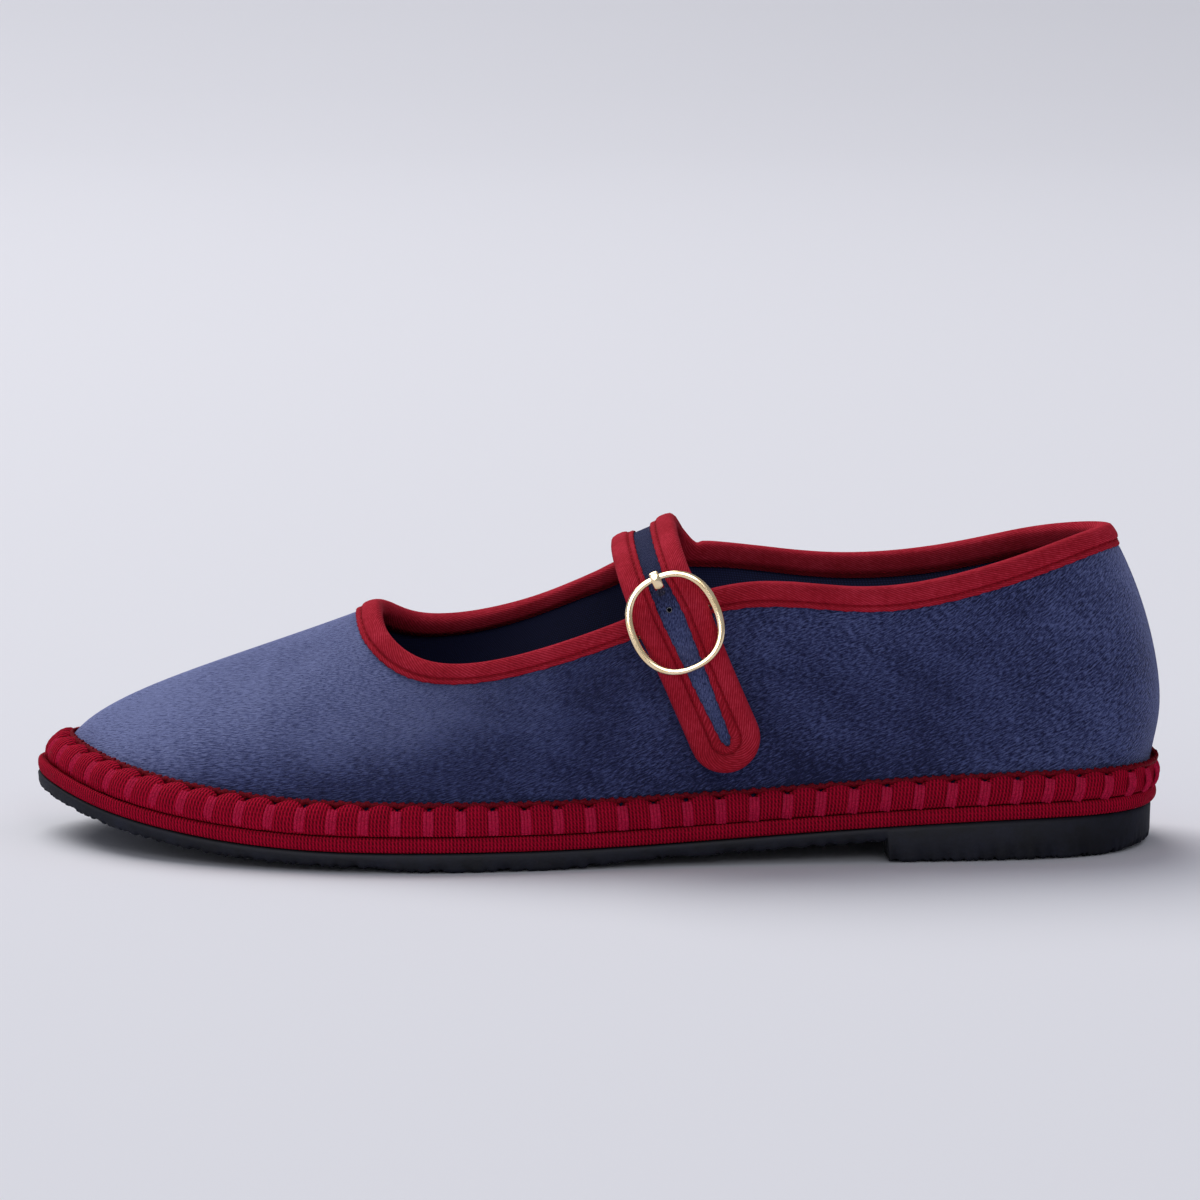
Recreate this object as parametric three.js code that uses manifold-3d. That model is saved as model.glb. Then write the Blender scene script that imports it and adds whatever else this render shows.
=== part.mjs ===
import * as THREE from 'three';
import { mergeVertices } from 'three/addons/utils/BufferGeometryUtils.js';
import Module from 'manifold-3d';

// Millimetres. The toe points to -X, the outer side of the foot is -Y, the floor is z = 0.
// Driving sizes
const LENGTH = 252;            // sole, heel back to toe tip
const BALL_WIDTH = 88;         // sole across the ball
const BACK_HEIGHT = 70;        // collar edge above the floor at the heel back
const RUBBER = 3.2;            // rubber under the arch and toe
const BALL_EXTRA = 1.05;       // extra rubber under the ball
const BALL_LEVEL = 4.2;        // top of the rubber at the ball
const HEEL_RISE = 5.05;        // top of the rubber at the heel, above the ball
const TOE_SPRING = 9.5;        // top of the rubber at the toe tip, above the ball
const HEEL_LENGTH = 61;        // heel back to the front face of the heel
const HEEL_INSET = 1.2;        // rubber stands back from the ribbon layer at the heel
const MIDSOLE = 3.3;           // ribbon-wrapped lower layer
const BAND_HEIGHT = 6.2;       // ribbon-wrapped upper layer, along the upper
const FEATHER = 4;             // typical step from sole edge in to the foot of the upper
const WALL = 1.6;              // velvet and lining together
const INSOLE = 2.2;
const TAPE = 0.9;              // folded tape round the edges
const TAPE_COVER = 4.5;        // how far the tape reaches in from the edge
const STRAP_HALF = 6.55;       // half width of the strap inside its tape
const STRAP_SPREAD = 0.5;      // the strap spreads by this at the buckle bar
const STRAP_LEAN = 23.5;       // degrees the strap leans to the toe as it rises
const STRAP_ALONG = 110;       // heel back to the strap at the outer collar
const STRAP_TAIL = 37.4;       // strap end below the outer collar, along the strap
const STRAP_CREST = 13.4;      // top of the strap's arch above the outer collar
const WIRE = 1.5;              // buckle wire
const BUCKLE_HEIGHT = 22.6;
const BUCKLE_WIDTH = 20.6;
const BAR_DROP = 2.6;          // buckle bar below the outer collar, along the strap
const RING_OFF = 1.5;          // middle of the buckle wire off the outer face of the strap
const PRONG = 0.9;
const PRONG_WIDTH = 1.8;
const TAB = 0.6;               // keeper that holds the bar
const TAB_WIDTH = 9;
const TAB_REACH = 10.5;        // end of the keeper below the bar
const GAP = 0.3;               // air left between pieces that meet

// Small edges of the sole
const BREAST_SLOPE = 0.6;      // the heel's front face leans by this
const FOOT_INSET = 0.7;        // floor edge of the rubber stands in by this
const FOOT_RADIUS = 1;         // height at which its side is nearly full
const SIDE_INSET = 0.15;
const REAR_INSET = 2.2;        // the rear lower corner of the heel is cut away
const REAR_HEIGHT = 1.6;
const RIBBON_ROUND = 0.9;      // rounding of the ribbon-wrapped lower layer
const BAND_STEP = 0.6;         // sole edge to the foot of the welt band
const TOE_STEP = 1.3;          // more of that step at the toe tip

// Counts and steps
const AROUND = 80;
const COLLAR_STEPS = 76;
const STRAP_STEPS = 19;
const RING_STEPS = 40;
const SPLINE_PASSES = 40;
const SEARCH_PASSES = 12;
const SAMPLES = 32;
const STEP = 1e-3;             // small step for slopes
const ACROSS = [-1, -0.6, -0.2, 0.2, 0.6, 1];

// Levels of the rubber: shares of the length from the heel back
const HEEL_FLAT = 0.08;        // top level as far as here
const WAIST_END = 0.556;       // top at the ball's level from here
const SPRING_START = 0.675;    // toe rises from here
const SPRING_POWER = 2.6;
const BALL_START = 0.46;       // thicker rubber under the ball
const BALL_END = 0.71;
const BALL_FADE = 0.07;
const TOE_START = 0.86;        // the welt band's step grows from here
const SPREAD_POWER = 4;        // how fast the strap narrows away from the bar
const BACK_ROUND = 0.06;       // the cut rear corner fades out here

const HALF_BALL = BALL_WIDTH / 2;
const TURN = 2 * Math.PI;
const DEGREE = Math.PI / 180;

// Stations every 15 degrees from the heel back, by the outer side, toe tip and inner side.
// edge: sole edge across; along, across, height: collar edge.
// Shares of half the ball width, length, half the ball width and back height.
const STATIONS = [
  [0.023, 0.046, 0.02, 1.004],     // heel back
  [-0.330, 0.065, -0.23, 1.003],
  [-0.568, 0.115, -0.43, 0.955],
  [-0.677, 0.183, -0.545, 0.890],
  [-0.718, 0.270, -0.605, 0.854],
  [-0.768, 0.373, -0.645, 0.870],  // outer waist
  [-0.877, 0.480, -0.67, 0.751],
  [-0.986, 0.579, -0.636, 0.634],  // outer ball
  [-0.936, 0.647, -0.523, 0.614],
  [-0.727, 0.681, -0.34, 0.671],
  [-0.432, 0.692, -0.18, 0.717],
  [-0.060, 0.695, -0.023, 0.745],
  [0.245, 0.695, 0.114, 0.747],    // toe tip and throat
  [0.515, 0.694, 0.25, 0.735],
  [0.740, 0.685, 0.398, 0.714],
  [0.900, 0.661, 0.523, 0.671],
  [0.991, 0.613, 0.605, 0.667],    // inner ball
  [0.920, 0.544, 0.614, 0.731],
  [0.739, 0.472, 0.55, 0.845],     // strap root, front
  [0.636, 0.399, 0.555, 0.898],    // strap root, rear
  [0.650, 0.294, 0.572, 0.862],
  [0.655, 0.190, 0.525, 0.890],
  [0.568, 0.115, 0.405, 0.955],
  [0.352, 0.065, 0.24, 0.990],
];

// Stations every 30 degrees, the same way round: how the wall of the upper stands.
// foot: step in from the sole edge, share of the feather; rise, swell, reach: shares of back
// height for the lower pull up, the lower pull out and the upper pull; slope: degrees at the top.
const WALLS = [
  [0.75, 0.20, 0.114, 0.257, 58],
  [0.75, 0.20, 0.086, 0.257, 64],
  [0.80, 0.23, 0.043, 0.257, 78],
  [0.90, 0.23, 0.021, 0.229, 74],
  [1.05, 0.186, 0.014, 0.229, 48],
  [1.30, 0.186, 0.014, 0.343, 30],
  [1.50, 0.20, 0, 0.571, 21.5],
  [1.30, 0.186, 0.014, 0.343, 30],
  [1.05, 0.186, 0.014, 0.20, 52],
  [0.90, 0.23, 0.007, 0.20, 74],
  [0.80, 0.23, 0.043, 0.257, 78],
  [0.75, 0.20, 0.086, 0.257, 64],
];

// Rows of the upper from foot to collar edge, and back down inside
const OUTSIDE = [0, 0.05, 0.12, 0.22, 0.34, 0.48, 0.62, 0.76, 0.88, 1];
const INSIDE = [1, 0.86, 0.7, 0.52, 0.34, 0.18, 0.07, 0];

// Strap arch over the foot: across as a share of half the ball width, rise as a share of crest
const ARCH = [
  [0.518, 0.56],
  [0.466, 0.71],
  [0.364, 0.86],
  [0.205, 0.97],
  [0, 1.01],
  [-0.227, 0.98],
  [-0.455, 0.86],
  [-0.61, 0.71],
  [-0.735, 0.475],
];

// Strap down the outer side: drop below the collar as a share of the tail, then lift of its
// outer face off the wall, from 0 where it lies flat to 1 over the bar, keeper and collar tape
const TAPE_BULGE = GAP + TAPE * 1.17;
const LIE = GAP + TAPE_BULGE + WALL;
const BAR_LIFT = LIE + TAPE_BULGE + TAB + WIRE + 3 * GAP;
const FALL = [
  [-0.045, 0.9],
  [BAR_DROP / STRAP_TAIL, 1],
  [0.23, 0.72],
  [0.4, 0.28],
  [0.58, 0.04],
  [0.8, 0],
  [1, 0],
];

// Tape section: depth in from the edge, stand off the outer face of what it covers
const CREST = GAP + TAPE;
const TAPE_SECTION = [
  [TAPE_COVER, GAP],
  [TAPE_COVER, GAP + TAPE * 0.45],
  [TAPE_COVER - 1, GAP + TAPE * 0.55],
  [TAPE_COVER - 1.2, GAP + TAPE],
  [TAPE_COVER * 0.3, TAPE_BULGE],
  [-CREST * 0.55, CREST * 0.75],
  [-CREST, -WALL / 2],
  [-CREST * 0.55, -WALL - CREST * 0.75],
  [TAPE_COVER * 0.3, -WALL - TAPE_BULGE],
  [TAPE_COVER * 1.05, -WALL - GAP - TAPE * 0.8],
  [TAPE_COVER * 1.05, -WALL - GAP],
  [-GAP, -WALL - GAP],
  [-GAP, GAP],
];

// Welt band section: share of its height, share of its thickness
const BAND_SECTION = [
  [0, 0],
  [0, 1],
  [0.35, 1.12],
  [0.72, 0.9],
  [0.94, 0.5],
  [1, 0.22],
  [1, 0],
  [0.72, 0],
  [0.35, 0],
  [0.12, 0],
];

const vec = (x, y, z) => new THREE.Vector3(x, y, z);
const mix = (a, b, share) => a.clone().lerp(b, share);
const clamp = (value, low, high) => Math.min(high, Math.max(low, value));
const ease = (value) => {
  const share = clamp(value, 0, 1);
  return share * share * (3 - 2 * share);
};

// A smooth closed curve through rows that stand at equal angles round the shoe
function loopTable(rows) {
  const count = rows.length;
  const at = (list, i) => list[(i + count) % count];
  let knots = rows;
  for (let pass = 0; pass < SPLINE_PASSES; pass += 1) {
    const last = knots;
    knots = rows.map((row, i) => row.map(
      (value, c) => (6 * value - at(last, i - 1)[c] - at(last, i + 1)[c]) / 4));
  }
  return (angle) => {
    const place = (((angle / TURN) % 1) + 1) % 1 * count;
    const i = Math.floor(place);
    const u = place - i;
    const weights = [
      (1 - u) ** 3 / 6,
      (3 * u ** 3 - 6 * u * u + 4) / 6,
      (-3 * u ** 3 + 3 * u * u + 3 * u + 1) / 6,
      u ** 3 / 6,
    ];
    return rows[0].map((_, c) => weights.reduce(
      (sum, weight, j) => sum + weight * at(knots, i - 1 + j)[c], 0));
  };
}
const stationAt = loopTable(STATIONS);
const wallAt = loopTable(WALLS);

// Levels along the shoe, measured from the heel back
function rubberTop(along) {
  const place = along / LENGTH;
  const heel = ease((WAIST_END - place) / (WAIST_END - HEEL_FLAT));
  const toe = clamp((place - SPRING_START) / (1 - SPRING_START), 0, 1);
  return BALL_LEVEL + HEEL_RISE * heel + TOE_SPRING * toe ** SPRING_POWER;
}

function rubberBottom(along) {
  if (along < HEEL_LENGTH + BREAST_SLOPE / 2) {
    return 0;
  }
  const place = along / LENGTH;
  const ball = ease((place - BALL_START) / BALL_FADE) * ease((BALL_END - place) / BALL_FADE);
  return Math.max(0, rubberTop(along) - RUBBER - BALL_EXTRA * ball);
}
const midsoleTop = (along) => rubberTop(along) + GAP + MIDSOLE;
const footLevel = (along) => midsoleTop(along) + GAP;
const alongOf = (point) => LENGTH / 2 - point.x;

// Sole edge, moved in by inset, at floor level
function soleEdge(angle, inset) {
  const raw = (a) => vec(LENGTH / 2 * Math.cos(a), HALF_BALL * stationAt(a)[0], 0);
  const run = raw(angle + STEP).sub(raw(angle - STEP)).normalize();
  const inward = vec(run.y, -run.x, 0);
  return raw(angle).addScaledVector(inward, inset);
}

// Outer face of the upper: share 0 at its foot, 1 at the collar edge
function skin(angle, share) {
  const [foot, rise, swell, reach, slope] = wallAt(angle);
  const [, along, across, height] = stationAt(angle);
  const base = soleEdge(angle, foot * FEATHER);
  base.z = footLevel(alongOf(base));
  const top = vec(LENGTH / 2 - along * LENGTH, across * HALF_BALL, height * BACK_HEIGHT);
  const lean = vec(top.x - base.x, top.y - base.y, 0).normalize();
  const low = base.clone().addScaledVector(lean, -swell * BACK_HEIGHT);
  low.z += rise * BACK_HEIGHT;
  const high = top.clone().addScaledVector(lean, -reach * BACK_HEIGHT * Math.cos(slope * DEGREE));
  high.z -= reach * BACK_HEIGHT * Math.sin(slope * DEGREE);
  return new THREE.CubicBezierCurve3(base, low, high, top).getPoint(share);
}

function skinNormal(angle, share) {
  const low = clamp(share - STEP, 0, 1);
  const high = clamp(share + STEP, 0, 1);
  const up = skin(angle, high).sub(skin(angle, low));
  const run = skin(angle + STEP, share).sub(skin(angle - STEP, share));
  return up.cross(run).normalize();
}

// Share on the skin at a distance along it: from the foot, or from the collar when negative
function shareAt(angle, distance) {
  const fromTop = distance < 0;
  const goal = Math.abs(distance);
  let walked = 0;
  let last = skin(angle, fromTop ? 1 : 0);
  for (let i = 1; i <= SAMPLES; i += 1) {
    const next = skin(angle, fromTop ? 1 - i / SAMPLES : i / SAMPLES);
    const leg = next.distanceTo(last);
    if (walked + leg >= goal) {
      const share = (i - 1 + (goal - walked) / leg) / SAMPLES;
      return fromTop ? 1 - share : share;
    }
    walked += leg;
    last = next;
  }
  return fromTop ? 0 : 1;
}

// Point of the outer skin on the outer side at a place along and a height
function outerWall(along, height) {
  let angle = Math.acos(1 - 2 * along / LENGTH);
  let share = 0.8;
  for (let pass = 0; pass < SEARCH_PASSES; pass += 1) {
    const here = skin(angle, share);
    const byAngle = skin(angle + STEP, share).sub(here).divideScalar(STEP);
    const byShare = skin(angle, share + STEP).sub(here).divideScalar(STEP);
    const dx = LENGTH / 2 - along - here.x;
    const dz = height - here.z;
    const det = byAngle.x * byShare.z - byAngle.z * byShare.x;
    angle += (dx * byShare.z - dz * byShare.x) / det;
    share += (byAngle.x * dz - byAngle.z * dx) / det;
  }
  return skin(angle, share);
}

// Meshes
function body(points, faces) {
  const flat = points.flatMap((p) => [p.x, p.y, p.z]);
  const volume = faces.reduce((sum, [a, b, c]) => sum
    + points[a].dot(points[b].clone().cross(points[c])), 0);
  const index = faces.flatMap(([a, b, c]) => (volume > 0 ? [a, b, c] : [a, c, b]));
  const geometry = new THREE.BufferGeometry();
  geometry.setAttribute('position', new THREE.Float32BufferAttribute(flat, 3));
  geometry.setIndex(index);
  return geometry;
}

// Rings joined one to the next; the ends meet when looped, else each end is closed across
function loft(rings, looped) {
  const size = rings[0].length;
  const points = rings.flat();
  const faces = [];
  const quad = (a, b, c, d) => {
    faces.push([a, b, c]);
    faces.push([a, c, d]);
  };
  const joins = looped ? rings.length : rings.length - 1;
  for (let r = 0; r < joins; r += 1) {
    const here = r * size;
    const next = ((r + 1) % rings.length) * size;
    for (let j = 0; j < size; j += 1) {
      const k = (j + 1) % size;
      quad(here + j, here + k, next + k, next + j);
    }
  }
  if (!looped) {
    const cap = (start, flip) => {
      for (let i = 0; i < size / 2; i += 1) {
        const corners = [i, i + 1, size - i - 1, (size - i) % size];
        const kept = corners.filter((v, n) => corners.indexOf(v) === n).map((v) => start + v);
        for (let n = 1; n + 1 < kept.length; n += 1) {
          const face = [kept[0], kept[n], kept[n + 1]];
          faces.push(flip ? face.reverse() : face);
        }
      }
    };
    cap(0, true);
    cap((rings.length - 1) * size, false);
  }
  return body(points, faces);
}

const wasm = await Module();
wasm.setup();

function toManifold(geometry) {
  const bare = geometry.clone();
  bare.deleteAttribute('normal');
  bare.deleteAttribute('uv');
  const merged = mergeVertices(bare, 1e-4);
  return new wasm.Manifold(new wasm.Mesh({
    numProp: 3,
    vertProperties: new Float32Array(merged.attributes.position.array),
    triVerts: new Uint32Array(merged.index.array),
  }));
}

function fromManifold(manifold) {
  const mesh = manifold.getMesh();
  const geometry = new THREE.BufferGeometry();
  geometry.setAttribute('position', new THREE.Float32BufferAttribute(mesh.vertProperties, 3));
  geometry.setIndex([...mesh.triVerts]);
  return geometry;
}

// Sole
const evenAngles = Array.from({ length: AROUND }, (_, i) => i * TURN / AROUND);
const ringAt = (angles, insetOf, levelOf) => angles.map((angle) => {
  const point = soleEdge(angle, insetOf(angle));
  point.z = levelOf(alongOf(point), angle);
  return point;
});

function outsole() {
  const alongAt = (angle) => LENGTH / 2 * (1 - Math.cos(angle));
  const breast = [HEEL_LENGTH, HEEL_LENGTH + BREAST_SLOPE]
    .map((along) => Math.acos(1 - 2 * along / LENGTH));
  const spare = TURN / AROUND / 4;
  const half = evenAngles.slice(0, AROUND / 2 + 1)
    .filter((a) => breast.every((b) => Math.abs(a - b) > spare));
  const outer = [...half, ...breast].sort((a, b) => a - b);
  const angles = [...outer, ...outer.slice(1, -1).reverse().map((a) => TURN - a)];
  const edge = (angle) => HEEL_INSET * ease(1.5 - alongAt(angle) / HEEL_LENGTH);
  const back = (angle) => ease(1 - alongAt(angle) / (BACK_ROUND * LENGTH));
  const floor = (angle) => rubberBottom(alongAt(angle));
  const low = ringAt(angles, (a) => edge(a) + FOOT_INSET + REAR_INSET * back(a),
    (_, a) => floor(a));
  const side = ringAt(angles, (a) => edge(a) + SIDE_INSET,
    (_, a) => floor(a) + FOOT_RADIUS + REAR_HEIGHT * back(a));
  const top = ringAt(angles, edge, rubberTop);
  return loft([low, side, top], false);
}

function midsole() {
  const bulge = [[0, 1], [0.18, 0.33], [0.5, 0], [0.82, 0.33], [1, 1]];
  const rings = bulge.map(([share, round]) => ringAt(evenAngles, () => round * RIBBON_ROUND,
    (along) => rubberTop(along) + GAP + share * MIDSOLE));
  return loft(rings, false);
}

function insole() {
  const rim = (angle) => wallAt(angle)[0] * FEATHER + WALL + 2 * GAP;
  const rings = [[0, 0.09], [0.65, 0], [1, 0.32]].map(([share, round]) => ringAt(evenAngles,
    (angle) => rim(angle) + round * INSOLE, (along) => footLevel(along) + share * INSOLE));
  return loft(rings, false);
}

// Upper and the ribbon band round its foot
function upper() {
  const outside = OUTSIDE.map((share) => evenAngles.map((angle) => skin(angle, share)));
  const inside = INSIDE.map((share) => evenAngles.map((angle) => {
    const point = skin(angle, share).addScaledVector(skinNormal(angle, share), -WALL);
    if (share === 0) {
      point.z = footLevel(alongOf(point));
    }
    return point;
  }));
  return loft([...outside, ...inside], true);
}

function weltBand() {
  const thickness = (angle) => {
    const place = (1 - Math.cos(angle)) / 2;
    const toe = ease((place - TOE_START) / (1 - TOE_START));
    return wallAt(angle)[0] * FEATHER - BAND_STEP - TOE_STEP * toe - GAP;
  };
  const rings = BAND_SECTION.map(([height, stand]) => evenAngles.map((angle) => {
    const thick = thickness(angle);
    const out = GAP + stand * thick;
    if (height === 0) {
      const point = soleEdge(angle, wallAt(angle)[0] * FEATHER - out);
      point.z = footLevel(alongOf(point));
      return point;
    }
    const share = shareAt(angle, height * BAND_HEIGHT);
    const face = skin(angle, share);
    const edge = soleEdge(angle, 0);
    const room = soleEdge(angle, 1).sub(edge).dot(face.clone().sub(edge));
    return face.addScaledVector(skinNormal(angle, share), Math.min(out, room));
  }));
  return loft(rings, true);
}

// Strap: nodes of centre, width direction and half width, from its root to its tip
const lean = STRAP_LEAN * DEGREE;
const widthWay = vec(Math.cos(lean), 0, Math.sin(lean));
const riseWay = vec(-Math.sin(lean), 0, Math.cos(lean));
const ROOT_FRONT = 269.2 * DEGREE;
const ROOT_REAR = 282.4 * DEGREE;
const ROOT_SPREAD = 0.86;      // share of that stretch that the strap's own edge takes

const collarHeight = outerCollar(STRAP_ALONG).z;
function outerCollar(along) {
  let angle = Math.acos(1 - 2 * along / LENGTH);
  for (let pass = 0; pass < SEARCH_PASSES; pass += 1) {
    angle += (along / LENGTH - stationAt(angle)[1]) * 2;
  }
  return skin(angle, 1);
}
// Just above the collar edge, in line with the wall
function aboveCollar(angle) {
  const up = skin(angle, 1).sub(skin(angle, 0.97)).normalize();
  return skin(angle, 1).addScaledVector(up, 3 * GAP);
}
const planePoint = (across, rise) => vec(LENGTH / 2 - STRAP_ALONG, across, collarHeight)
  .addScaledVector(riseWay, rise);

function strapNodes() {
  const ends = [ROOT_FRONT, ROOT_REAR].map(aboveCollar);
  const list = [{
    centre: mix(ends[0], ends[1], 0.5),
    width: ends[1].clone().sub(ends[0]).normalize(),
    half: ends[0].distanceTo(ends[1]) / 2,
  }];
  for (const [across, rise] of ARCH) {
    list.push({
      centre: planePoint(across * HALF_BALL, rise * STRAP_CREST),
      width: widthWay,
      half: STRAP_HALF,
    });
  }
  for (const [drop, lift] of FALL) {
    const middle = planePoint(0, -drop * STRAP_TAIL);
    const sides = [-STRAP_HALF, STRAP_HALF].map((across) => {
      const target = middle.clone().addScaledVector(widthWay, across);
      return outerWall(alongOf(target), target.z);
    });
    const width = sides[1].clone().sub(sides[0]).normalize();
    const out = width.clone().cross(riseWay).normalize();
    list.push({
      centre: mix(sides[0], sides[1], 0.5)
        .addScaledVector(out, LIE + lift * (BAR_LIFT - LIE)),
      width,
      half: STRAP_HALF + STRAP_SPREAD * lift ** SPREAD_POWER,
    });
  }
  return list;
}
const nodes = strapNodes();
const strapLine = new THREE.CatmullRomCurve3(nodes.map((n) => n.centre), false, 'centripetal');
strapLine.arcLengthDivisions = 400;
const strapLengths = strapLine.getLengths();
const STRAP_LENGTH = strapLine.getLength();

function strapFrame(s) {
  const u = clamp(s / STRAP_LENGTH, 0, 1);
  const place = strapLine.getUtoTmapping(u) * (nodes.length - 1);
  const i = Math.min(Math.floor(place), nodes.length - 2);
  const share = ease(place - i);
  const run = strapLine.getTangentAt(u);
  const width = mix(nodes[i].width, nodes[i + 1].width, share);
  width.addScaledVector(run, -width.dot(run)).normalize();
  return {
    centre: strapLine.getPointAt(u),
    run,
    width,
    out: run.clone().cross(width).normalize(),
    half: nodes[i].half + (nodes[i + 1].half - nodes[i].half) * share,
  };
}

// Point by distance from the root, across, and off the outer face
function strapPoint(s, across, off) {
  const { centre, run, width, out } = strapFrame(s);
  const beyond = s - clamp(s, 0, STRAP_LENGTH);
  return centre.clone().addScaledVector(run, beyond)
    .addScaledVector(width, across).addScaledVector(out, off);
}

// The buckle bar stands at the second node of the fall
const barShare = (ARCH.length + 2) / (nodes.length - 1);
const BAR_AT = strapLengths[Math.round(barShare * strapLine.arcLengthDivisions)];

function strapCore() {
  const straight = STRAP_LENGTH - STRAP_HALF;
  const steps = 30;
  const places = [];
  for (let i = 0; i <= steps; i += 1) {
    const s = straight * i / steps;
    places.push([s, strapFrame(s).half]);
  }
  for (const turn of [25, 50, 70, 84]) {
    places.push([straight + STRAP_HALF * Math.sin(turn * DEGREE),
      STRAP_HALF * Math.cos(turn * DEGREE)]);
  }
  const row = (s, half, off) => ACROSS.map((share) => strapPoint(s, share * half, off));
  const rings = places.map(([s, half]) => [...row(s, half, 0), ...row(s, half, -WALL).reverse()]);
  rings[0] = rootRing();
  const hole = strapBox(HOLE_AT, PRONG + 2 * GAP, PRONG_WIDTH / 2 + GAP);
  return fromManifold(toManifold(loft(rings, false)).subtract(toManifold(hole)));
}

// The strap's root stands just above the collar edge of the upper
function rootRing() {
  const outer = ACROSS.map((share) => {
    const angle = ROOT_FRONT + (ROOT_REAR - ROOT_FRONT) * (ROOT_SPREAD * share + 1) / 2;
    return [aboveCollar(angle), skinNormal(angle, 1)];
  });
  const inner = outer.map(([point, out]) => point.clone().addScaledVector(out, -WALL));
  return [...outer.map(([point]) => point), ...inner.reverse()];
}

// A box through the strap, square to it
function strapBox(s, halfAlong, halfAcross) {
  const corner = [[-1, -1], [1, -1], [1, 1], [-1, 1]];
  const rings = [WALL, -2 * WALL].map((off) => corner.map(
    ([a, b]) => strapPoint(s + a * halfAlong, b * halfAcross, off)));
  return loft(rings, false);
}

// Where the strap leaves the upper the tape turns the corner. Each row gives three spots: on the
// edge, halfway and deep. past: degrees from the root's end towards the middle of the strap;
// drop: below the collar edge; s: up the strap from its root; inset: in from its edge.
// The lengths are shares of the tape's cover.
const CORNER = [
  [{ past: -3.6, drop: 0 }, { past: -3.4, drop: 0.5 }, { past: -3.1, drop: 1.04 }],
  [{ past: -1.8, drop: 0 }, { past: -1.2, drop: 0.49 }, { past: -0.4, drop: 1 }],
  [{ past: -0.3, drop: 0 }, { past: 0.8, drop: 0.42 }, { past: 2.1, drop: 0.84 }],
  [{ s: 0.33, inset: 0 }, { past: 2.1, drop: 0.11 }, { past: 3.9, drop: 0.44 }],
  [{ s: 0.84, inset: 0 }, { s: 0.73, inset: 0.49 }, { s: 0.44, inset: 0.98 }],
];
const CORNER_EASE = 0.36 * TAPE;   // the tape stands off a little more round the corner
const CORNER_CLEAR = 5.6 * DEGREE; // its plain run on the collar starts here
const STRAP_CLEAR = 1.33 * TAPE_COVER;
const DEPTHS = [0, TAPE_COVER / 2, TAPE_COVER * 1.05];

function skinSpot(angle, drop) {
  const share = drop > 0 ? shareAt(angle, -drop) : 1;
  return [skin(angle, share), skinNormal(angle, share)];
}
function strapSpot(s, side, inset) {
  const { half, out } = strapFrame(s);
  return [strapPoint(s, side * (half - inset), 0), out];
}

// Tape: one closed run round the collar and round the strap's edges
function tapeNodes() {
  const list = [];
  const add = (lines, extra) => list.push({ lines, extra });
  const corner = (side, rows) => rows.forEach((row) => add(row.map((spot) => {
    const end = side > 0 ? ROOT_REAR : ROOT_FRONT;
    return spot.s === undefined
      ? skinSpot(end - side * spot.past * DEGREE, spot.drop * TAPE_COVER)
      : strapSpot(spot.s * TAPE_COVER, side, spot.inset * TAPE_COVER);
  }), CORNER_EASE));
  const straight = STRAP_LENGTH - STRAP_HALF;
  const edge = (side, i) => add(DEPTHS.map((depth) => strapSpot(
    STRAP_CLEAR + (straight - STRAP_CLEAR) * i / STRAP_STEPS, side, depth)), 0);
  const start = ROOT_REAR + CORNER_CLEAR;
  const sweep = ROOT_FRONT - CORNER_CLEAR + TURN - start;
  for (let i = 0; i <= COLLAR_STEPS; i += 1) {
    add(DEPTHS.map((depth) => skinSpot(start + sweep * i / COLLAR_STEPS, depth)), 0);
  }
  corner(-1, CORNER);
  for (let i = 0; i <= STRAP_STEPS; i += 1) {
    edge(-1, i);
  }
  const tip = strapFrame(straight);
  for (let turn = -70; turn <= 70; turn += 20) {
    add(DEPTHS.map((depth) => [
      strapPoint(straight + (STRAP_HALF - depth) * Math.cos(turn * DEGREE),
        (STRAP_HALF - depth) * Math.sin(turn * DEGREE), 0),
      tip.out,
    ]), 0);
  }
  for (let i = STRAP_STEPS; i >= 0; i -= 1) {
    edge(1, i);
  }
  corner(1, [...CORNER].reverse());
  return list;
}

function tape() {
  const rings = tapeNodes().map(({ lines, extra }) => {
    const [edge, middle, deep] = lines;
    const inward = middle[0].clone().sub(edge[0]).normalize();
    return TAPE_SECTION.map(([depth, stand]) => {
      const i = depth < DEPTHS[1] ? 0 : 1;
      const share = (depth - DEPTHS[i]) / (DEPTHS[i + 1] - DEPTHS[i]);
      const face = depth < 0 ? edge[0].clone().addScaledVector(inward, depth)
        : mix(lines[i][0], lines[i + 1][0], share);
      const out = depth < 0 ? edge[1].clone()
        : mix(lines[i][1], lines[i + 1][1], share).normalize();
      const loose = Math.sign(stand + WALL / 2) * extra;
      return face.addScaledVector(out, stand + loose);
    });
  });
  return loft(rings, true);
}

// Buckle, in the frame of the strap at the bar: down the strap, across, off its outer face
const BAR_OFF = -(WALL + TAPE_BULGE + GAP + WIRE / 2);
const RING_POWER = 2.3;        // 2 would be an ellipse
// The bar leaves the ring and dips under the strap: shares of the ring's half width and the dip
const DIP = [
  [1, 0],
  [0.99, 0.45],
  [0.93, 0.8],
  [0.82, 0.97],
  [0.66, 1],
  [0, 1],
];
const ringTall = (BUCKLE_HEIGHT - WIRE) / 2;
const ringWide = (BUCKLE_WIDTH - WIRE) / 2;
const barFrame = strapFrame(BAR_AT);
const HOLE_AT = BAR_AT - ringTall + 2 * WIRE;
const buckleSpace = (down, across, off) => barFrame.centre.clone()
  .addScaledVector(barFrame.run, down).addScaledVector(barFrame.width, across)
  .addScaledVector(barFrame.out, off);

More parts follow.
